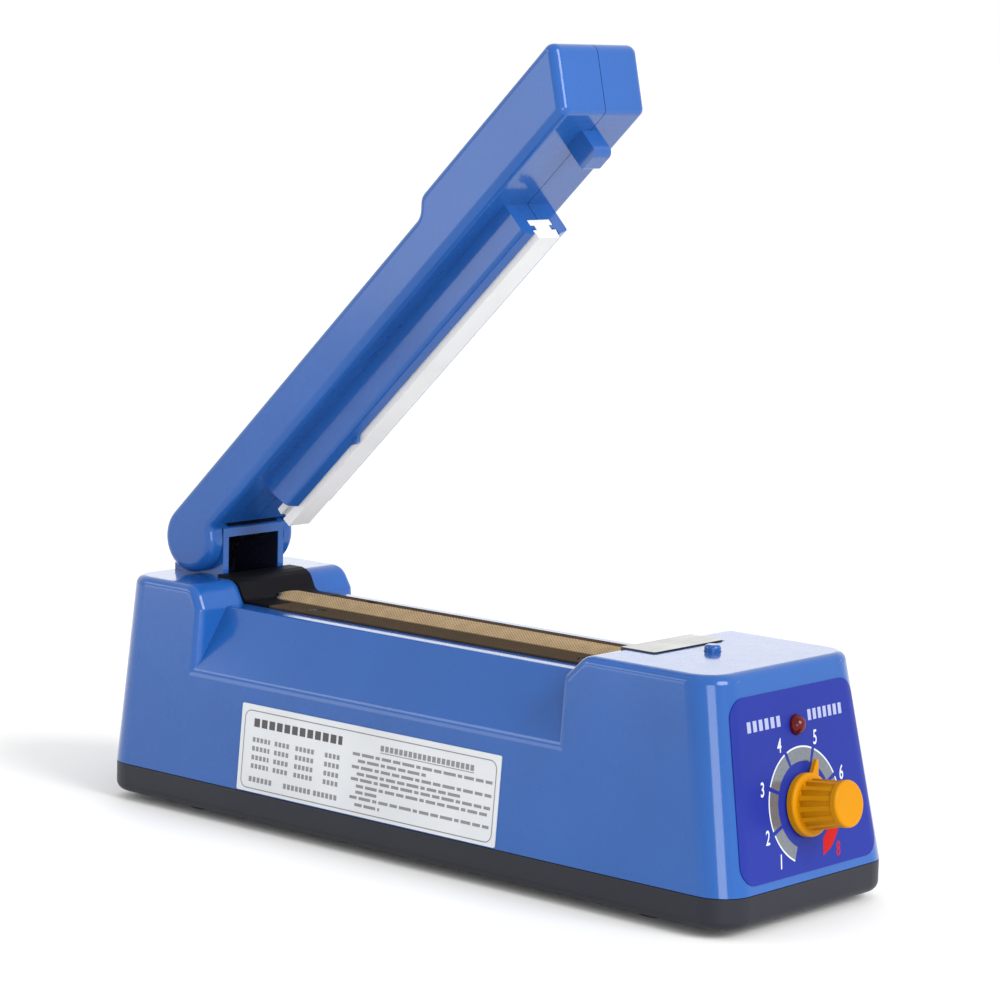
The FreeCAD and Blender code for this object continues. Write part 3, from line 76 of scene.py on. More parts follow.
class Nodes:
    """A material whose surface is one Principled shader, with short calls to add nodes."""

    def __init__(self, name, colour, roughness, **sockets):
        self.material = bpy.data.materials.new(name)
        self.material.use_nodes = True
        self.tree = self.material.node_tree
        self.shader = self.tree.nodes["Principled BSDF"]
        self.shader.inputs["Base Color"].default_value = (*colour, 1)
        self.shader.inputs["Roughness"].default_value = roughness
        for socket, value in sockets.items():
            self.shader.inputs[socket.replace("_", " ")].default_value = value
        self.place = self.add("ShaderNodeTexCoord").outputs["Object"]
        self.relief = None

    def add(self, kind, **settings):
        """A new node of this kind with these attributes."""
        node = self.tree.nodes.new(kind)
        for name, value in settings.items():
            setattr(node, name, value)
        return node

    def link(self, source, target):
        """Join an output to an input."""
        self.tree.links.new(source, target)

    def stretched(self, scale):
        """Object coordinates, scaled along each axis."""
        mapping = self.add("ShaderNodeMapping")
        mapping.inputs["Scale"].default_value = scale
        self.link(self.place, mapping.inputs["Vector"])
        return mapping.outputs["Vector"]

    def noise(self, scale, detail=3.0, place=None):
        """Noise with this many features to the metre."""
        texture = self.add("ShaderNodeTexNoise")
        texture.inputs["Scale"].default_value = scale
        texture.inputs["Detail"].default_value = detail
        self.link(place or self.place, texture.inputs["Vector"])
        return texture.outputs["Fac"]

    def bands(self, pitch, direction):
        """Stripes across a direction, one to each pitch, or a little wider on the diagonal."""
        texture = self.add("ShaderNodeTexWave", wave_type="BANDS", bands_direction=direction)
        texture.inputs["Scale"].default_value = WAVE_PITCH / pitch
        self.link(self.place, texture.inputs["Vector"])
        return texture.outputs["Fac"]

    def ramp(self, factor, low, high, start=0.0, end=1.0):
        """One colour up to a start, another from an end, and a blend between."""
        node = self.add("ShaderNodeValToRGB")
        node.color_ramp.elements[0].position = start
        node.color_ramp.elements[1].position = end
        node.color_ramp.elements[0].color = (*low, 1)
        node.color_ramp.elements[1].color = (*high, 1)
        self.link(factor, node.inputs["Fac"])
        return node.outputs["Color"]

    def spread(self, factor, low, high, start=0.3, end=0.7):
        """A factor between start and end, turned into a number between low and high."""
        node = self.add("ShaderNodeMapRange")
        node.inputs["From Min"].default_value = start
        node.inputs["From Max"].default_value = end
        node.inputs["To Min"].default_value = low
        node.inputs["To Max"].default_value = high
        self.link(factor, node.inputs["Value"])
        return node.outputs["Result"]

    def maths(self, operation, first, second):
        """Arithmetic on two sockets, or on a socket and a plain number."""
        node = self.add("ShaderNodeMath", operation=operation)
        for value, socket in zip((first, second), node.inputs):
            if isinstance(value, (int, float)):
                socket.default_value = value
            else:
                self.link(value, socket)
        return node.outputs[0]

    def mixed(self, factor, first, second):
        """A colour between two others."""
        node = self.add("ShaderNodeMix", data_type="RGBA")
        # the node's colour sockets come after those for numbers and for vectors
        colour_from, colour_to = node.inputs[6:8]
        self.link(factor, node.inputs["Factor"])
        self.link(first, colour_from)
        self.link(second, colour_to)
        return node.outputs[2]

    def split(self, source):
        """The three parts of a vector, by the names X, Y and Z."""
        node = self.add("ShaderNodeSeparateXYZ")
        self.link(source, node.inputs["Vector"])
        return node.outputs

    def tint(self, colour_output):
        """Colour the surface."""
        self.link(colour_output, self.shader.inputs["Base Color"])

    def polish(self, roughness_output):
        """Make the surface's roughness uneven."""
        self.link(roughness_output, self.shader.inputs["Roughness"])

    def bump(self, height, depth):
        """Relief of this depth in metres, added to any relief already there."""
        node = self.add("ShaderNodeBump")
        node.inputs["Distance"].default_value = depth
        self.link(height, node.inputs["Height"])
        if self.relief:
            self.link(self.relief, node.inputs["Normal"])
        self.relief = node.outputs["Normal"]
        self.link(self.relief, self.shader.inputs["Normal"])


def shade(colour, factor):
    """The same colour, made darker or lighter."""
    return tuple(min(1.0, part * factor) for part in colour)


def range_of(colour, factors):
    """The darkest and the lightest that a colour gets."""
    return [shade(colour, factor) for factor in factors]


def moulding(name, colour, roughness, grain=2600.0, depth=2e-6, **sockets):
    """Moulded plastic: cloudy colour, uneven gloss, faint flow waves and a fine grain."""
    uneven = 0.03
    wave_depth = 6e-6
    m = Nodes(name, colour, roughness, **sockets)
    m.tint(m.ramp(m.noise(CLOUDS, detail=4.0), *range_of(colour, CLOUDY), start=0.3, end=0.7))
    m.polish(m.spread(m.noise(GLOSS_PATCHES, detail=5.0), roughness - uneven, roughness + uneven))
    m.bump(m.noise(FLOW_WAVES, detail=2.0), wave_depth)
    m.bump(m.noise(grain, detail=2.0), depth)
    return m


def moulded(*settings, **more):
    """The finished material of a moulding."""
    return moulding(*settings, **more).material


def brushed(name, colour, roughness, along, depth):
    """Drawn or brushed metal: fine lines along one axis over a cloudy tarnish."""
    m = Nodes(name, colour, roughness, Metallic=1.0)
    lines = m.noise(BRUSH_LINES, detail=3.0, place=m.stretched(along))
    m.tint(m.ramp(m.noise(TARNISH, detail=4.0), *range_of(colour, TARNISHED), start=0.3, end=0.7))
    m.polish(m.spread(lines, roughness - SMOOTHER, roughness + ROUGHER))
    m.bump(lines, depth)
    return m


def metal(name, colour, roughness, along=(1, 1, 1), depth=3e-6):
    """The finished material of a brushed metal."""
    return brushed(name, colour, roughness, along, depth).material


def dark_edged(name, colour, roughness, along, depth):
    """Brushed sheet whose cut edges, the faces that don't look up, are painted near-black and not
    metallic: a painted shadow line along the sheet.
    """
    half_way_up = 0.5
    m = brushed(name, colour, roughness, along, depth)
    facing = m.split(m.add("ShaderNodeTexCoord").outputs["Normal"])
    upward = m.maths("GREATER_THAN", facing["Z"], half_way_up)
    plain = m.shader.inputs["Base Color"].links[0].from_socket
    # painted shadow: the faces that don't look up get this near-black instead of the metal
    edge = m.ramp(m.noise(SMUDGES_AND_SHADOW_MOTTLE), (0.004, 0.004, 0.004), (0.008, 0.008, 0.008))
    m.tint(m.mixed(upward, edge, plain))
    m.link(upward, m.shader.inputs["Metallic"])
    return m.material


def woven(name, flat, raised, pitch, roughness, slope=(0.0, 1.0)):
    """Coated glass cloth: crossing threads, stains, and one colour low down and another
    high up, which change over in the heights that the slope spans."""
    second_pitch = 0.8 * pitch
    weave_share = 0.55
    thread_depth = 5e-5
    m = Nodes(name, raised, roughness, Specular_IOR_Level=0.0)
    threads = m.maths("ADD", m.bands(pitch, "DIAGONAL"), m.bands(second_pitch, "Y"))
    weave = m.maths("MULTIPLY", threads, 0.5)
    patches = m.maths("ADD", m.maths("MULTIPLY", weave, weave_share),
                      m.maths("MULTIPLY", m.noise(STAINS, detail=6.0), 1 - weave_share))
    lift = m.spread(m.split(m.place)["Z"], 0.0, 1.0, *slope)
    low = m.ramp(patches, *range_of(flat, (0.82, 1.2)), start=0.25, end=0.8)
    high = m.ramp(patches, *range_of(raised, (0.6, 1.22)), start=0.28, end=0.78)
    m.tint(m.mixed(lift, low, high))
    m.polish(m.spread(m.noise(SMUDGES_AND_SHADOW_MOTTLE), roughness - SMOOTHER, roughness + ROUGHER))
    m.bump(weave, thread_depth)
    return m.material


def pocketed(name, colour, roughness, dark, low, high, **sockets):
    """Moulded plastic whose deep pocket, between two corners, is painted nearly black as painted
    shade.
    """
    shade_mottle = 40
    m = moulding(name, colour, roughness, **sockets)
    place = m.split(m.place)
    in_pocket_shade = 1.0
    for axis, start, end in zip("XYZ", low, high):
        in_pocket_shade = m.maths("MULTIPLY", in_pocket_shade, m.maths("GREATER_THAN", place[axis], start))
        in_pocket_shade = m.maths("MULTIPLY", in_pocket_shade, m.maths("LESS_THAN", place[axis], end))
    plain = m.shader.inputs["Base Color"].links[0].from_socket
    # painted shade: inside the pocket the colour turns near-black navy with a faint mottle
    m.tint(m.mixed(in_pocket_shade, plain, m.ramp(m.noise(shade_mottle), *range_of(dark, (1.0, 1.6)))))
    return m.material


def lens(name, colour, low, high):
    """Glossy coloured plastic that lets a little light in, with a faint ripple."""
    clouds = 700
    ripple = 900
    m = Nodes(name, colour, 0.06, Transmission_Weight=0.2, IOR=1.33)
    m.tint(m.ramp(m.noise(clouds), low, high, start=0.35, end=0.65))
    m.bump(m.noise(ripple, detail=2.0), 4e-6)
    return m.material


def metallic_ink(name, colour, low, high):
    """Shiny ink with fine flakes in it."""
    flakes = 1500
    grain = 3000
    m = Nodes(name, colour, 0.14, Metallic=0.6)
    m.tint(m.ramp(m.noise(flakes), low, high, start=0.35, end=0.65))
    m.bump(m.noise(grain, detail=2.0), 5e-7)
    return m.material


# ------------------------------------------------------------------ materials
BLUE = (0.010, 0.074, 0.285)
GLOSS = dict(Coat_Weight=1.0, Coat_Roughness=0.1, Coat_IOR=1.38, Specular_IOR_Level=0.08)
BLUE_ROUGHNESS = 0.28
blue = moulded("blue_moulding", BLUE, BLUE_ROUGHNESS, **GLOSS)

# the window of the hinge tower, a pocket behind and above the rear cover, where the housing's
# blue is painted near-black as painted shade
cover_low, cover_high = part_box("rear_cover")
WINDOW_X = cover_low.x - 0.7 * MM
WINDOW_DEPTH = 20 * MM
WINDOW_HALF = 9.74 * MM
WINDOW_LOW = cover_low.z - 4 * MM
WINDOW_HIGH = cover_low.z + 26 * MM
housing_blue_pocket_shaded = pocketed("housing_moulding", BLUE, BLUE_ROUGHNESS, (0.006, 0.007, 0.016),
                        (WINDOW_X - WINDOW_DEPTH, -WINDOW_HALF, WINDOW_LOW),
                        (WINDOW_X, WINDOW_HALF, WINDOW_HIGH), **GLOSS)

charcoal = moulded("charcoal_moulding", (0.011, 0.012, 0.019), 0.42, grain=4200, depth=1.2e-5,
                   Specular_IOR_Level=0.28)
rubber = moulded("black_rubber", (0.012, 0.012, 0.012), 0.75, grain=1800, depth=2e-5)
black = moulded("black_moulding", (0.014, 0.014, 0.015), 0.38, grain=3200, depth=6e-6)
apron = moulded("black_apron", (0.004, 0.004, 0.006), 0.45, grain=1500, depth=1.5e-5,
                Specular_IOR_Level=0.06)
white = moulded("white_moulding", (0.62, 0.62, 0.62), 0.45, grain=900, depth=8e-6)
orange = moulded("orange_moulding", (0.44, 0.178, 0.001), 0.3, grain=1900, depth=5e-6,
                 Specular_IOR_Level=0.08)
panel_film = moulded("panel_film", (0.010, 0.021, 0.205), 0.3, grain=3500, depth=8e-7,
                     Specular_IOR_Level=0.15)
label_film = moulded("label_film", (0.51, 0.53, 0.55), 0.36, grain=3500, depth=1.5e-6)
bobbin = moulded("bobbin_moulding", (0.75, 0.72, 0.62), 0.5)
board = moulded("board_mask", (0.02, 0.16, 0.06), 0.3)
sleeve = moulded("capacitor_sleeve", (0.02, 0.035, 0.16), 0.3)
resistor = moulded("resistor_coat", (0.5, 0.36, 0.18), 0.45)
zinc = metal("zinc_plate", (0.68, 0.68, 0.66), 0.32)
blackened = metal("blackened_steel", (0.02, 0.02, 0.022), 0.5)
steel = metal("sheet_steel", (0.55, 0.55, 0.55), 0.38, (1, 12, 1))
aluminium = metal("aluminium_extrusion", (0.75, 0.75, 0.74), 0.33, (0.08, 1, 1))
# the front cover plate: brushed metal on top, its side faces painted near-black as a shadow line
cover = dark_edged("cover_sheet", (0.62, 0.62, 0.60), 0.36, (1, 0.06, 1), 2e-6)
nichrome = metal("heating_ribbon", (0.5, 0.47, 0.43), 0.3, (0.08, 1, 1))
brass = metal("brass", (0.72, 0.52, 0.2), 0.3)
spring = metal("spring_wire", (0.12, 0.12, 0.13), 0.3)
core = metal("core_laminations", (0.2, 0.19, 0.18), 0.5, (1, 30, 1), 1e-5)
copper = metal("enamelled_copper", (0.62, 0.22, 0.07), 0.32, (1, 1, 22), 2e-5)

# the cloth is dark on the flange and tan on the ridge
bar_low, bar_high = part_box("ptfe_cloth")
ptfe = woven("ptfe_cloth", (0.060, 0.043, 0.029), (0.345, 0.250, 0.146), 0.52 * MM, 0.6,
             slope=(bar_low.z + 0.84 * MM, bar_low.z + 1.1 * MM))
glass_cloth = woven("glass_cloth", (0.6, 0.56, 0.45), (0.7, 0.66, 0.55), 0.4 * MM, 0.6)

red_lens = lens("lamp_lens", (0.10, 0.003, 0.005), (0.07, 0.002, 0.004), (0.14, 0.004, 0.006))

finishes = {
    "upper_housing": housing_blue_pocket_shaded, "arm_near_half": blue, "arm_far_half": blue,
    "switch_button": blue, "bottom_tray": charcoal, "rubber_feet": rubber,
    "cord_bushing": rubber, "rear_cover": apron, "front_cover_plate": cover,
    "pressure_bar": white, "timer_knob": orange, "panel_label": panel_film,
    "rating_label": label_film, "pilot_lamp": red_lens, "lamp_holder": black,
    "sealing_bar": aluminium, "ptfe_cloth": ptfe, "insulating_strip": glass_cloth,
    "heating_ribbon": nichrome, "front_terminal": brass, "rear_terminal": brass,
    "pivot_bushes": brass, "bar_screws": blackened, "tray_screws": zinc, "board_screws": zinc,
    "floor_screws": zinc, "arm_screws": zinc, "terminal_screw": zinc, "pivot_pin": zinc,
    "potentiometer_nut": zinc, "potentiometer_shaft": zinc, "potentiometer": steel,
    "switch_bracket": steel, "transformer_strap": steel, "micro_switch": black,
    "relay": black, "transformer_core": core, "bobbin": bobbin, "primary_winding": copper,
    "secondary_winding": copper, "circuit_board": board, "capacitor": sleeve,
    "triac_on_fin": aluminium, "resistors": resistor, "return_spring": spring,
    "spring_collar": spring,
}
for name, node in frame["nodes"].items():
    if not node.material_slots:
        node.data.materials.append(finishes[name])
    for slot in node.material_slots:
        slot.material = finishes[name]


# ------------------------------------------------------------------ printing
silver_ink = metallic_ink("silver_ink", (0.16, 0.18, 0.21), (0.165, 0.185, 0.215),
                          (0.195, 0.215, 0.245))
white_ink = moulded("white_ink", (0.50, 0.52, 0.60), 0.4)
red_ink = moulded("red_ink", (0.36, 0.006, 0.006), 0.38, Specular_IOR_Level=0.08)
grey_ink = moulded("grey_ink", (0.17, 0.17, 0.18), 0.5)
dark_ink = moulded("dark_ink", (0.045, 0.045, 0.05), 0.5)
pale_ink = moulded("pale_ink", (0.27, 0.30, 0.46), 0.4)


def facing(origin, rightward, upward):
    """A plane to print on: its matrix has X to the right, Y up and Z out of the surface."""
    outward = rightward.cross(upward)
    return Matrix.Translation(origin) @ Matrix(
        (rightward, upward, outward)).transposed().to_4x4()


# the panel's plane lies under the dial, where the knob's axis meets it
dial = next(joint for joint in frame["joints"] if joint["name"] == "timer_turn")
across = Vector((0, 1, 0))
PANEL = facing(Vector(dial["pos_m"]), across, Vector(dial["axis"]).normalized().cross(across))

# the side label's plane starts at its lower rear corner and leans with the wall
WALL_LEAN = 0.088
label_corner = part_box("rating_label")[0]
SIDE = facing(label_corner, Vector((1, 0, 0)), Vector((0, WALL_LEAN, 1)).normalized())

# how far print stands off each plane, and how thick it is, in millimetres
FILM = 0.3
ON_LABEL = 0.01
INK = 0.02


def print_shapes(name, loops, matrix, lift, ink):
    """Thin raised ink: closed outlines in millimetres on a plane, lifted off it."""
    points = []
    faces = []
    for loop in loops:
        first = len(points)
        count = len(loop)
        for height in (lift, lift + INK):
            points += [matrix @ Vector((x * MM, y * MM, height * MM)) for x, y in loop]
        faces.append([first + count + i for i in range(count)])
        for i in range(count):
            after = (i + 1) % count
            faces.append([first + i, first + after, first + count + after, first + count + i])
    mesh = bpy.data.meshes.new(name)
    mesh.from_pydata(points, [], faces)
    mesh.materials.append(ink)
    piece = bpy.data.objects.new(name, mesh)
    bpy.context.scene.collection.objects.link(piece)
    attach(piece, "base")


def bar(left, right, middle, height):
    """An upright rectangle."""
    return [(left, middle - height / 2), (right, middle - height / 2),
            (right, middle + height / 2), (left, middle + height / 2)]


def polar(radius, turn):
    """A point on the dial; turns are clockwise from straight up, in degrees."""
    angle = math.radians(turn)
    return radius * math.sin(angle), radius * math.cos(angle)


def sector(inner, outer, start, end, steps=24):
    """Part of a ring between two turns."""
    turns = [start + (end - start) * i / steps for i in range(steps + 1)]
    rim = [polar(outer, turn) for turn in turns]
    hub = [polar(inner, turn) for turn in reversed(turns)]
    return (rim + hub)[::-1]


# the dial's ring: six silver segments with white outer edges, then a red zone to a point
RING_INNER = 10.8
SILVER_OUTER = 14.15
RING_OUTER = 14.55
SEGMENT_MARKS = (-155.5, -110.8, -66.4, -22.0, 23.5, 67.0, 111.5)
HALF_GAP = 2.2
spans = [(start + HALF_GAP, end - HALF_GAP)
         for start, end in zip(SEGMENT_MARKS, SEGMENT_MARKS[1:])]
print_shapes("dial_segments", [sector(RING_INNER, SILVER_OUTER, *span) for span in spans],
             PANEL, FILM, silver_ink)
print_shapes("dial_outer_edges", [sector(SILVER_OUTER, RING_OUTER, *span) for span in spans],
             PANEL, FILM, white_ink)
HOT_START = 113.7
HOT_END = 147
HOT_TIP = 159
HOT_OUTER = 14.6
HOT_TIP_RADIUS = 14.3
hot_point = [polar(RING_INNER, HOT_END), polar(HOT_TIP_RADIUS, HOT_TIP),
             polar(HOT_OUTER, HOT_END)]
hot_arc = sector(RING_INNER, HOT_OUTER, HOT_START, HOT_END, steps=14)
print_shapes("dial_hot_zone", [hot_arc, hot_point], PANEL, FILM, red_ink)

# the dial's numbers from 1, narrow and leaning forward, the last one red
DIGIT_TURNS = (-136, -110, -70, -26, 24.5, 71, 110, 138)
DIGIT_RADIUS = 17.2
DIGIT_SIZE = 5.0
DIGIT_BOLD = 0.06
DIGIT_NARROW = 0.68
DIGIT_SLANT = 0.14
italic = Matrix(((DIGIT_NARROW, DIGIT_SLANT, 0, 0), (0, 1, 0, 0), (0, 0, 1, 0), (0, 0, 0, 1)))
for digit, turn in enumerate(DIGIT_TURNS, start=1):
    curve = bpy.data.curves.new(f"digit_{digit}", "FONT")
    curve.body = str(digit)
    curve.size = DIGIT_SIZE * MM
    curve.extrude = INK / 2 * MM
    curve.offset = DIGIT_BOLD * MM
    curve.align_x = "CENTER"
    curve.align_y = "CENTER"
    figure = bpy.data.objects.new(f"digit_{digit}_curve", curve)
    bpy.context.scene.collection.objects.link(figure)
    bpy.context.view_layer.update()
    mesh = bpy.data.meshes.new_from_object(
        figure.evaluated_get(bpy.context.evaluated_depsgraph_get()))
    bpy.data.objects.remove(figure)
    spot = Vector((*polar(DIGIT_RADIUS, turn), FILM + INK / 2)) * MM
    mesh.transform(PANEL @ Matrix.Translation(spot) @ italic)
    mesh.materials.clear()
    mesh.materials.append(red_ink if digit == len(DIGIT_TURNS) else white_ink)
    piece = bpy.data.objects.new(f"digit_{digit}", mesh)
    bpy.context.scene.collection.objects.link(piece)
    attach(piece, "base")

# a row of plain bars on each side of the lamp: its ends and how many bars it has
WORDS = ((-19.4, -5.2, 6), (5.2, 20.0, 7))
WORD_UP = 21.55
WORD_HEIGHT = 2.7
BAR_SHARE = 0.62
words = []
for left, right, count in WORDS:
    step = (right - left) / count
    words += [bar(left + i * step, left + (i + BAR_SHARE) * step, WORD_UP, WORD_HEIGHT)
              for i in range(count)]
print_shapes("panel_word_blocks", words, PANEL, FILM, pale_ink)


# the side label: a thin frame and rows of short dashes where its lines of print are
def rounded_frame(low_x, high_x, low_y, high_y, radius, line):
    """A closed frame of line width, as quads between an outer and an inner rounded loop."""
    steps = 6

    def loop(grow):
        """Round the four corners, the middle of the line grown outwards."""
        corners = ((high_x - radius, high_y - radius, 0), (low_x + radius, high_y - radius, 90),
                   (low_x + radius, low_y + radius, 180), (high_x - radius, low_y + radius, 270))
        size = radius + grow
        return [(cx + size * math.cos(math.radians(start + 90 * i / steps)),
                 cy + size * math.sin(math.radians(start + 90 * i / steps)))
                for cx, cy, start in corners for i in range(steps + 1)]

    outer = loop(line / 2)
    inner = loop(-line / 2)
    count = len(outer)
    return [[inner[i], outer[i], outer[(i + 1) % count], inner[(i + 1) % count]]
            for i in range(count)]


def dashes(left, right, middle, height, lengths, gap):
    """Word-like dashes of repeating lengths from left to right."""
    shortest = 0.6
    row = []
    start = left
    while start < right - shortest:
        end = min(start + lengths[len(row) % len(lengths)], right)
        row.append(bar(start, end, middle, height))
        start = end + gap
    return row


print_shapes("label_frame",
             rounded_frame(low_x=1.4, high_x=91.6, low_y=1.0, high_y=21.9, radius=2.2, line=0.28),
             SIDE, ON_LABEL, grey_ink)
title = dashes(4.9, 37.7, middle=18.8, height=2.3, lengths=(2.1,), gap=0.75)
print_shapes("label_title", title, SIDE, ON_LABEL, dark_ink)

# a table of four rows and four columns, three words under it, and an underlined heading
CELL_GAP = 0.45
ROW_HEIGHTS = (14.2, 11.8, 9.4, 7.1)
COLUMNS = ((4.8, 11.3), (13.1, 19.1), (20.9, 28.6), (31.8, 37.5))
LAST_ROW_WORDS = ((4.4, 13.4), (17.4, 27.6), (28.6, 37.6))
HEADING = (51.5, 84.2)
rows = []
for middle in ROW_HEIGHTS:
    for left, right in COLUMNS:
        rows += dashes(left, right, middle, height=1.25, lengths=(1.0,), gap=CELL_GAP)
for left, right in LAST_ROW_WORDS:
    rows += dashes(left, right, middle=3.5, height=1.4, lengths=(1.05,), gap=CELL_GAP)
rows += dashes(*HEADING, middle=19.0, height=1.5, lengths=(1.2,), gap=CELL_GAP)
rows.append(bar(*HEADING, middle=17.8, height=0.22))
print_shapes("label_rows", rows, SIDE, ON_LABEL, grey_ink)

# the lines of small print: left end, right end and height on the label
SMALL_LINES = ((41.8, 90.6, 16.2), (43.8, 68.0, 14.5), (41.8, 90.6, 12.8),
               (43.8, 80.2, 11.1), (41.8, 90.5, 9.6), (43.8, 90.5, 7.9),
               (43.8, 52.6, 6.3), (41.8, 90.5, 4.8), (43.8, 52.7, 3.0))
small = []
for left, right, middle in SMALL_LINES:
    small += dashes(left, right, middle, height=0.8, lengths=(2.6, 4.2, 1.5, 3.3), gap=0.7)
print_shapes("label_small_rows", small, SIDE, ON_LABEL, grey_ink)


# ------------------------------------------------------------------ cloth over the bar
# section of the cloth across the bar, from its middle out: half width and height above
# the platform, round over the ridge, flat on the flange and turned down at its edge
SECTION = [(0.0, 2.82), (0.6, 2.82), (1.2, 2.79), (1.8, 2.72), (2.3, 2.6), (2.75, 2.4),
           (3.15, 2.13), (3.6, 1.77), (4.05, 1.4), (4.45, 1.1), (4.8, 0.9), (5.2, 0.82),
           (5.8, 0.8), (8.0, 0.8), (11.0, 0.8), (13.6, 0.8), (13.95, 0.74), (14.08, 0.55),
           (14.1, 0.02)]
RIDGE_COLUMNS = 11
CLOTH = 0.2

# faint wrinkles: their height, and how fast they come along and across the ridge
WRINKLE = 0.035
WRINKLE_ALONG = 1.7
WRINKLE_ACROSS = 0.9
WRINKLE_FADE = 0.53

# the ridge runs out in a blunt tip at its rear end
TIP_LENGTH = 6.0
TIP_RISE = 0.75
NARROWEST = 0.12
LOWEST = 0.05
TIP_ROWS = 12
BODY_ROWS = 90


def cloth_rows(tip, flange_start, front):
    """Where the rows of the cloth lie along the bar, close together round its tip, and
    which of them is the first to reach over the flange."""
    taper = [tip + TIP_LENGTH * (1 - math.cos(math.radians(90 * i / TIP_ROWS)))
             for i in range(TIP_ROWS)]
    body_start = tip + TIP_LENGTH
    body = [body_start + (front - body_start) * i / BODY_ROWS for i in range(BODY_ROWS + 1)]
    rows = taper + body
    nearest = min(range(len(rows)), key=lambda i: abs(rows[i] - flange_start))
    rows[nearest] = flange_start
    return rows, nearest


def cloth_point(x, tip, half, rise):
    """A point of the section at x, faintly wrinkled and drawn in and down at the tip."""
    if abs(half) > SECTION[RIDGE_COLUMNS][0]:
        return half, rise
    share = min(1.0, max(0.0, (x - tip) / TIP_LENGTH))
    draw = math.sqrt(1 - (1 - share) ** 2)
    wrinkle = (WRINKLE * math.sin(x * WRINKLE_ALONG + half * WRINKLE_ACROSS)
               * math.sin(x * WRINKLE_FADE))
    return (half * max(draw, NARROWEST),
            TIP_RISE + (rise - TIP_RISE) * max(draw, LOWEST) + wrinkle)


def build_cloth():
    """The coated glass cloth, laid over the ridge and flange of the sealing bar."""
    gap_to_cover = 0.3
    tip = bar_low.x / MM
    front = bar_high.x / MM
    flange_start = cover_high.x / MM + gap_to_cover
    rows, first_wide = cloth_rows(tip, flange_start, front)
    section = [(-half, rise) for half, rise in SECTION[:0:-1]] + SECTION
    middle = len(SECTION) - 1
    points = []
    for x in rows:
        for half, rise in section:
            side, height = cloth_point(x, tip, half, rise)
            points.append((x * MM, side * MM, bar_low.z + height * MM))
    faces = []
    width = len(section)
    for i in range(len(rows) - 1):
        for j in range(width - 1):
            on_ridge = abs(j + 0.5 - middle) < RIDGE_COLUMNS
            if on_ridge or i >= first_wide:
                corner = i * width + j
                faces.append((corner, corner + width, corner + width + 1, corner + 1))
    mesh = bpy.data.meshes.new("glass_cloth_cover")
    mesh.from_pydata(points, [], faces)
    mesh.shade_smooth()
    piece = bpy.data.objects.new("glass_cloth_cover", mesh)
    bpy.context.scene.collection.objects.link(piece)
    thicken = piece.modifiers.new("thickness", "SOLIDIFY")
    thicken.thickness = CLOTH * MM
    thicken.offset = -1
    return piece, rows


def finish_cloth(piece, screw_spots):
    """Cut the screw holes, apply the modifiers and drop loose points."""
    hole_radius = 2.5 * MM
    cutter_length = 6 * MM
    cutters = []
    for spot in screw_spots:
        bpy.ops.mesh.primitive_cylinder_add(radius=hole_radius, depth=cutter_length,
                                            location=spot, vertices=40)
        cutters.append(bpy.context.object)
        hole = piece.modifiers.new("hole", "BOOLEAN")
        hole.operation = "DIFFERENCE"
        hole.object = cutters[-1]
    bpy.context.view_layer.update()
    mesh = bpy.data.meshes.new_from_object(
        piece.evaluated_get(bpy.context.evaluated_depsgraph_get()))
    piece.modifiers.clear()
    piece.data = mesh
    for cutter in cutters:
        bpy.data.objects.remove(cutter)
    trimmed = bmesh.new()
    trimmed.from_mesh(mesh)
    loose = [point for point in trimmed.verts if not point.link_faces]
    bmesh.ops.delete(trimmed, geom=loose, context="VERTS")
    trimmed.to_mesh(mesh)
    trimmed.free()
    mesh.materials.clear()
    mesh.materials.append(ptfe)


def screw_centres(node):
    """The top middle of each of a node's four screws, one in each quarter of its box."""
    low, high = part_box(node)
    middle = (low + high) / 2
    quarters = {}
    for vertex in frame["nodes"][node].data.vertices:
        key = (vertex.co.x > middle.x, vertex.co.y > middle.y)
        quarters.setdefault(key, []).append(vertex.co.copy())
    centres = []
    for spots in quarters.values():
        x, y = ((min(spot[i] for spot in spots) + max(spot[i] for spot in spots)) / 2
                for i in (0, 1))
        centres.append(Vector((x, y, high.z)))
    return centres


cloth, cloth_spots = build_cloth()
finish_cloth(cloth, screw_centres("bar_screws"))
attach(cloth, "base")
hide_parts("ptfe_cloth")


# ------------------------------------------------------------------ floor, light, camera
FLOOR_REACH = 40
FLOOR_DROP = 0.2 * MM
floor_mesh = bpy.data.meshes.new("floor")
floor_mesh.from_pydata([(x * FLOOR_REACH, y * FLOOR_REACH, 0)
                        for x, y in ((-1, -1), (1, -1), (1, 1), (-1, 1))], [], [(0, 1, 2, 3)])
pale = Nodes("pale_floor", (0.80, 0.80, 0.80), 0.7)
pale.tint(pale.ramp(pale.noise(3, detail=2.0), (0.795, 0.795, 0.795), (0.805, 0.805, 0.805)))
floor_mesh.materials.append(pale.material)
floor = bpy.data.objects.new("floor", floor_mesh)
floor.location.z = -FLOOR_DROP
bpy.context.scene.collection.objects.link(floor)

world = bpy.data.worlds.new("studio")
world.use_nodes = True
world.node_tree.nodes["Background"].inputs["Color"].default_value = (1, 1, 1, 1)
world.node_tree.nodes["Background"].inputs["Strength"].default_value = 1.0
bpy.context.scene.world = world
bpy.context.scene.view_settings.view_transform = "Standard"


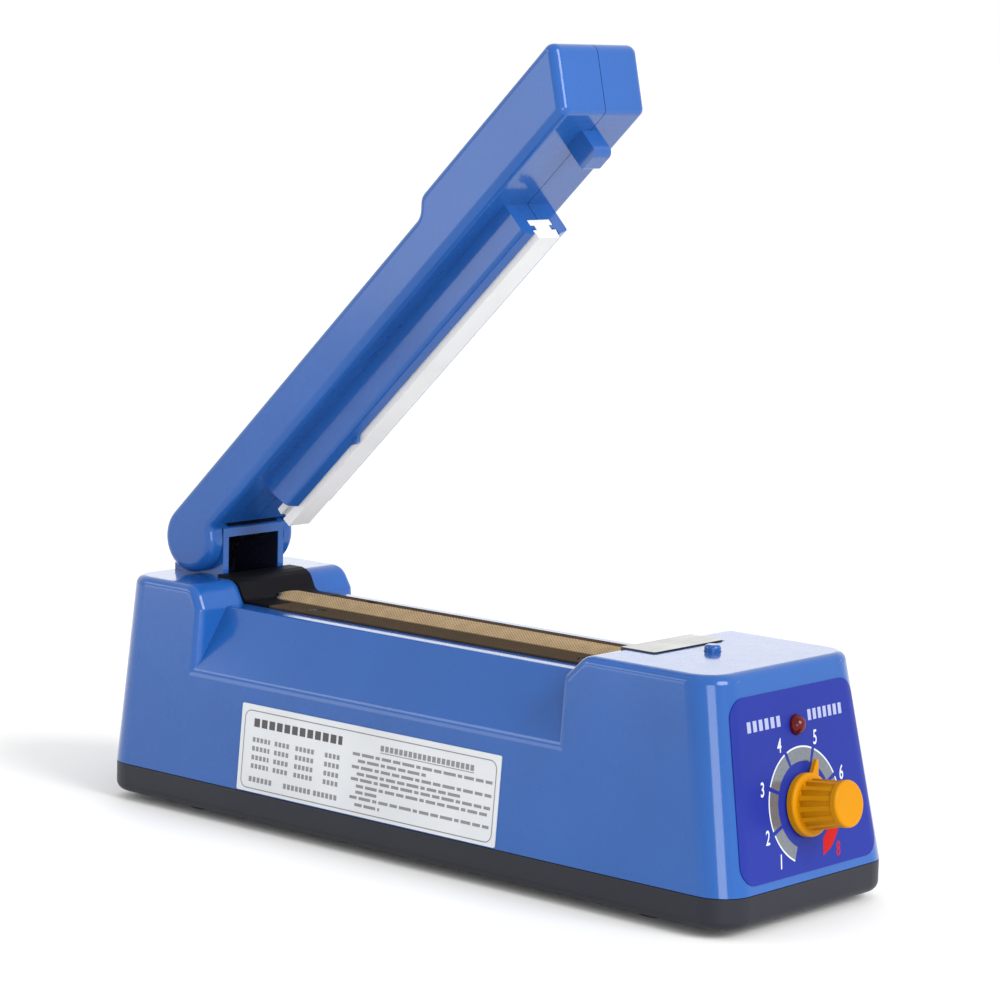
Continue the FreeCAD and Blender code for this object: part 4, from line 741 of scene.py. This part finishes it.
def add_light(name, kind, spot, target, power, **settings):
    """A light of this kind at a spot, aimed at a target; its power is in watts, or in
    watts to the square metre for the sun."""
    data = bpy.data.lights.new(name, kind)
    data.energy = power
    for key, value in settings.items():
        setattr(data, key, value)
    light = bpy.data.objects.new(name, data)
    light.location = spot
    light.rotation_euler = (Vector(target) - Vector(spot)).to_track_quat("-Z", "Y").to_euler()
    bpy.context.scene.collection.objects.link(light)


def add_softbox(name, spot, target, power, width, height):
    """A rectangular light."""
    add_light(name, "AREA", spot, target, power, shape="RECTANGLE", size=width, size_y=height)


add_light("key_light", "SUN", spot=(1.6, 0.1, 1.0), target=(0, 0, 0), power=2.9,
          angle=math.radians(35))
add_softbox("front_softbox", spot=(0.99, -0.81, 0.17), target=(0.1, -0.03, 0.05), power=3.4,
            width=0.55, height=0.34)
add_softbox("left_panel", spot=(-1.17, -1.35, 0.25), target=(0.02, 0, 0.19), power=2.6,
            width=0.7, height=0.5)
add_softbox("crease_softbox", spot=(-0.95, -0.9, 0.75), target=(-0.02, 0, 0.05), power=2.2,
            width=0.8, height=0.25)
add_softbox("back_panel", spot=(-1.9, 2.2, 0.47), target=(0, 0, 0.07), power=1.4,
            width=1.6, height=0.5)

# where the camera stands, its long lens in millimetres, and its angles: round from the
# near side, up, and a slight roll
CAMERA_SPOT = (0.583883, -0.667192, 0.213261)
LENS = 122.693
AZIMUTH, ELEVATION, ROLL = (math.radians(angle) for angle in (41.195, 7.731, 1.43))
camera_data = bpy.data.cameras.new("camera")
camera_data.sensor_width = 36
camera_data.lens = LENS
camera_data.clip_start = 0.05
camera = bpy.data.objects.new("camera", camera_data)
back = Vector((math.sin(AZIMUTH) * math.cos(ELEVATION), -math.cos(AZIMUTH) * math.cos(ELEVATION),
               math.sin(ELEVATION)))
right = (-back).cross(Vector((0, 0, 1))).normalized()
up = right.cross(-back)
rolled_right = right * math.cos(ROLL) + up * math.sin(ROLL)
rolled_up = up * math.cos(ROLL) - right * math.sin(ROLL)
camera.matrix_world = Matrix.Translation(CAMERA_SPOT) @ Matrix(
    (rolled_right, rolled_up, back)).transposed().to_4x4()
bpy.context.scene.collection.objects.link(camera)
bpy.context.scene.camera = camera
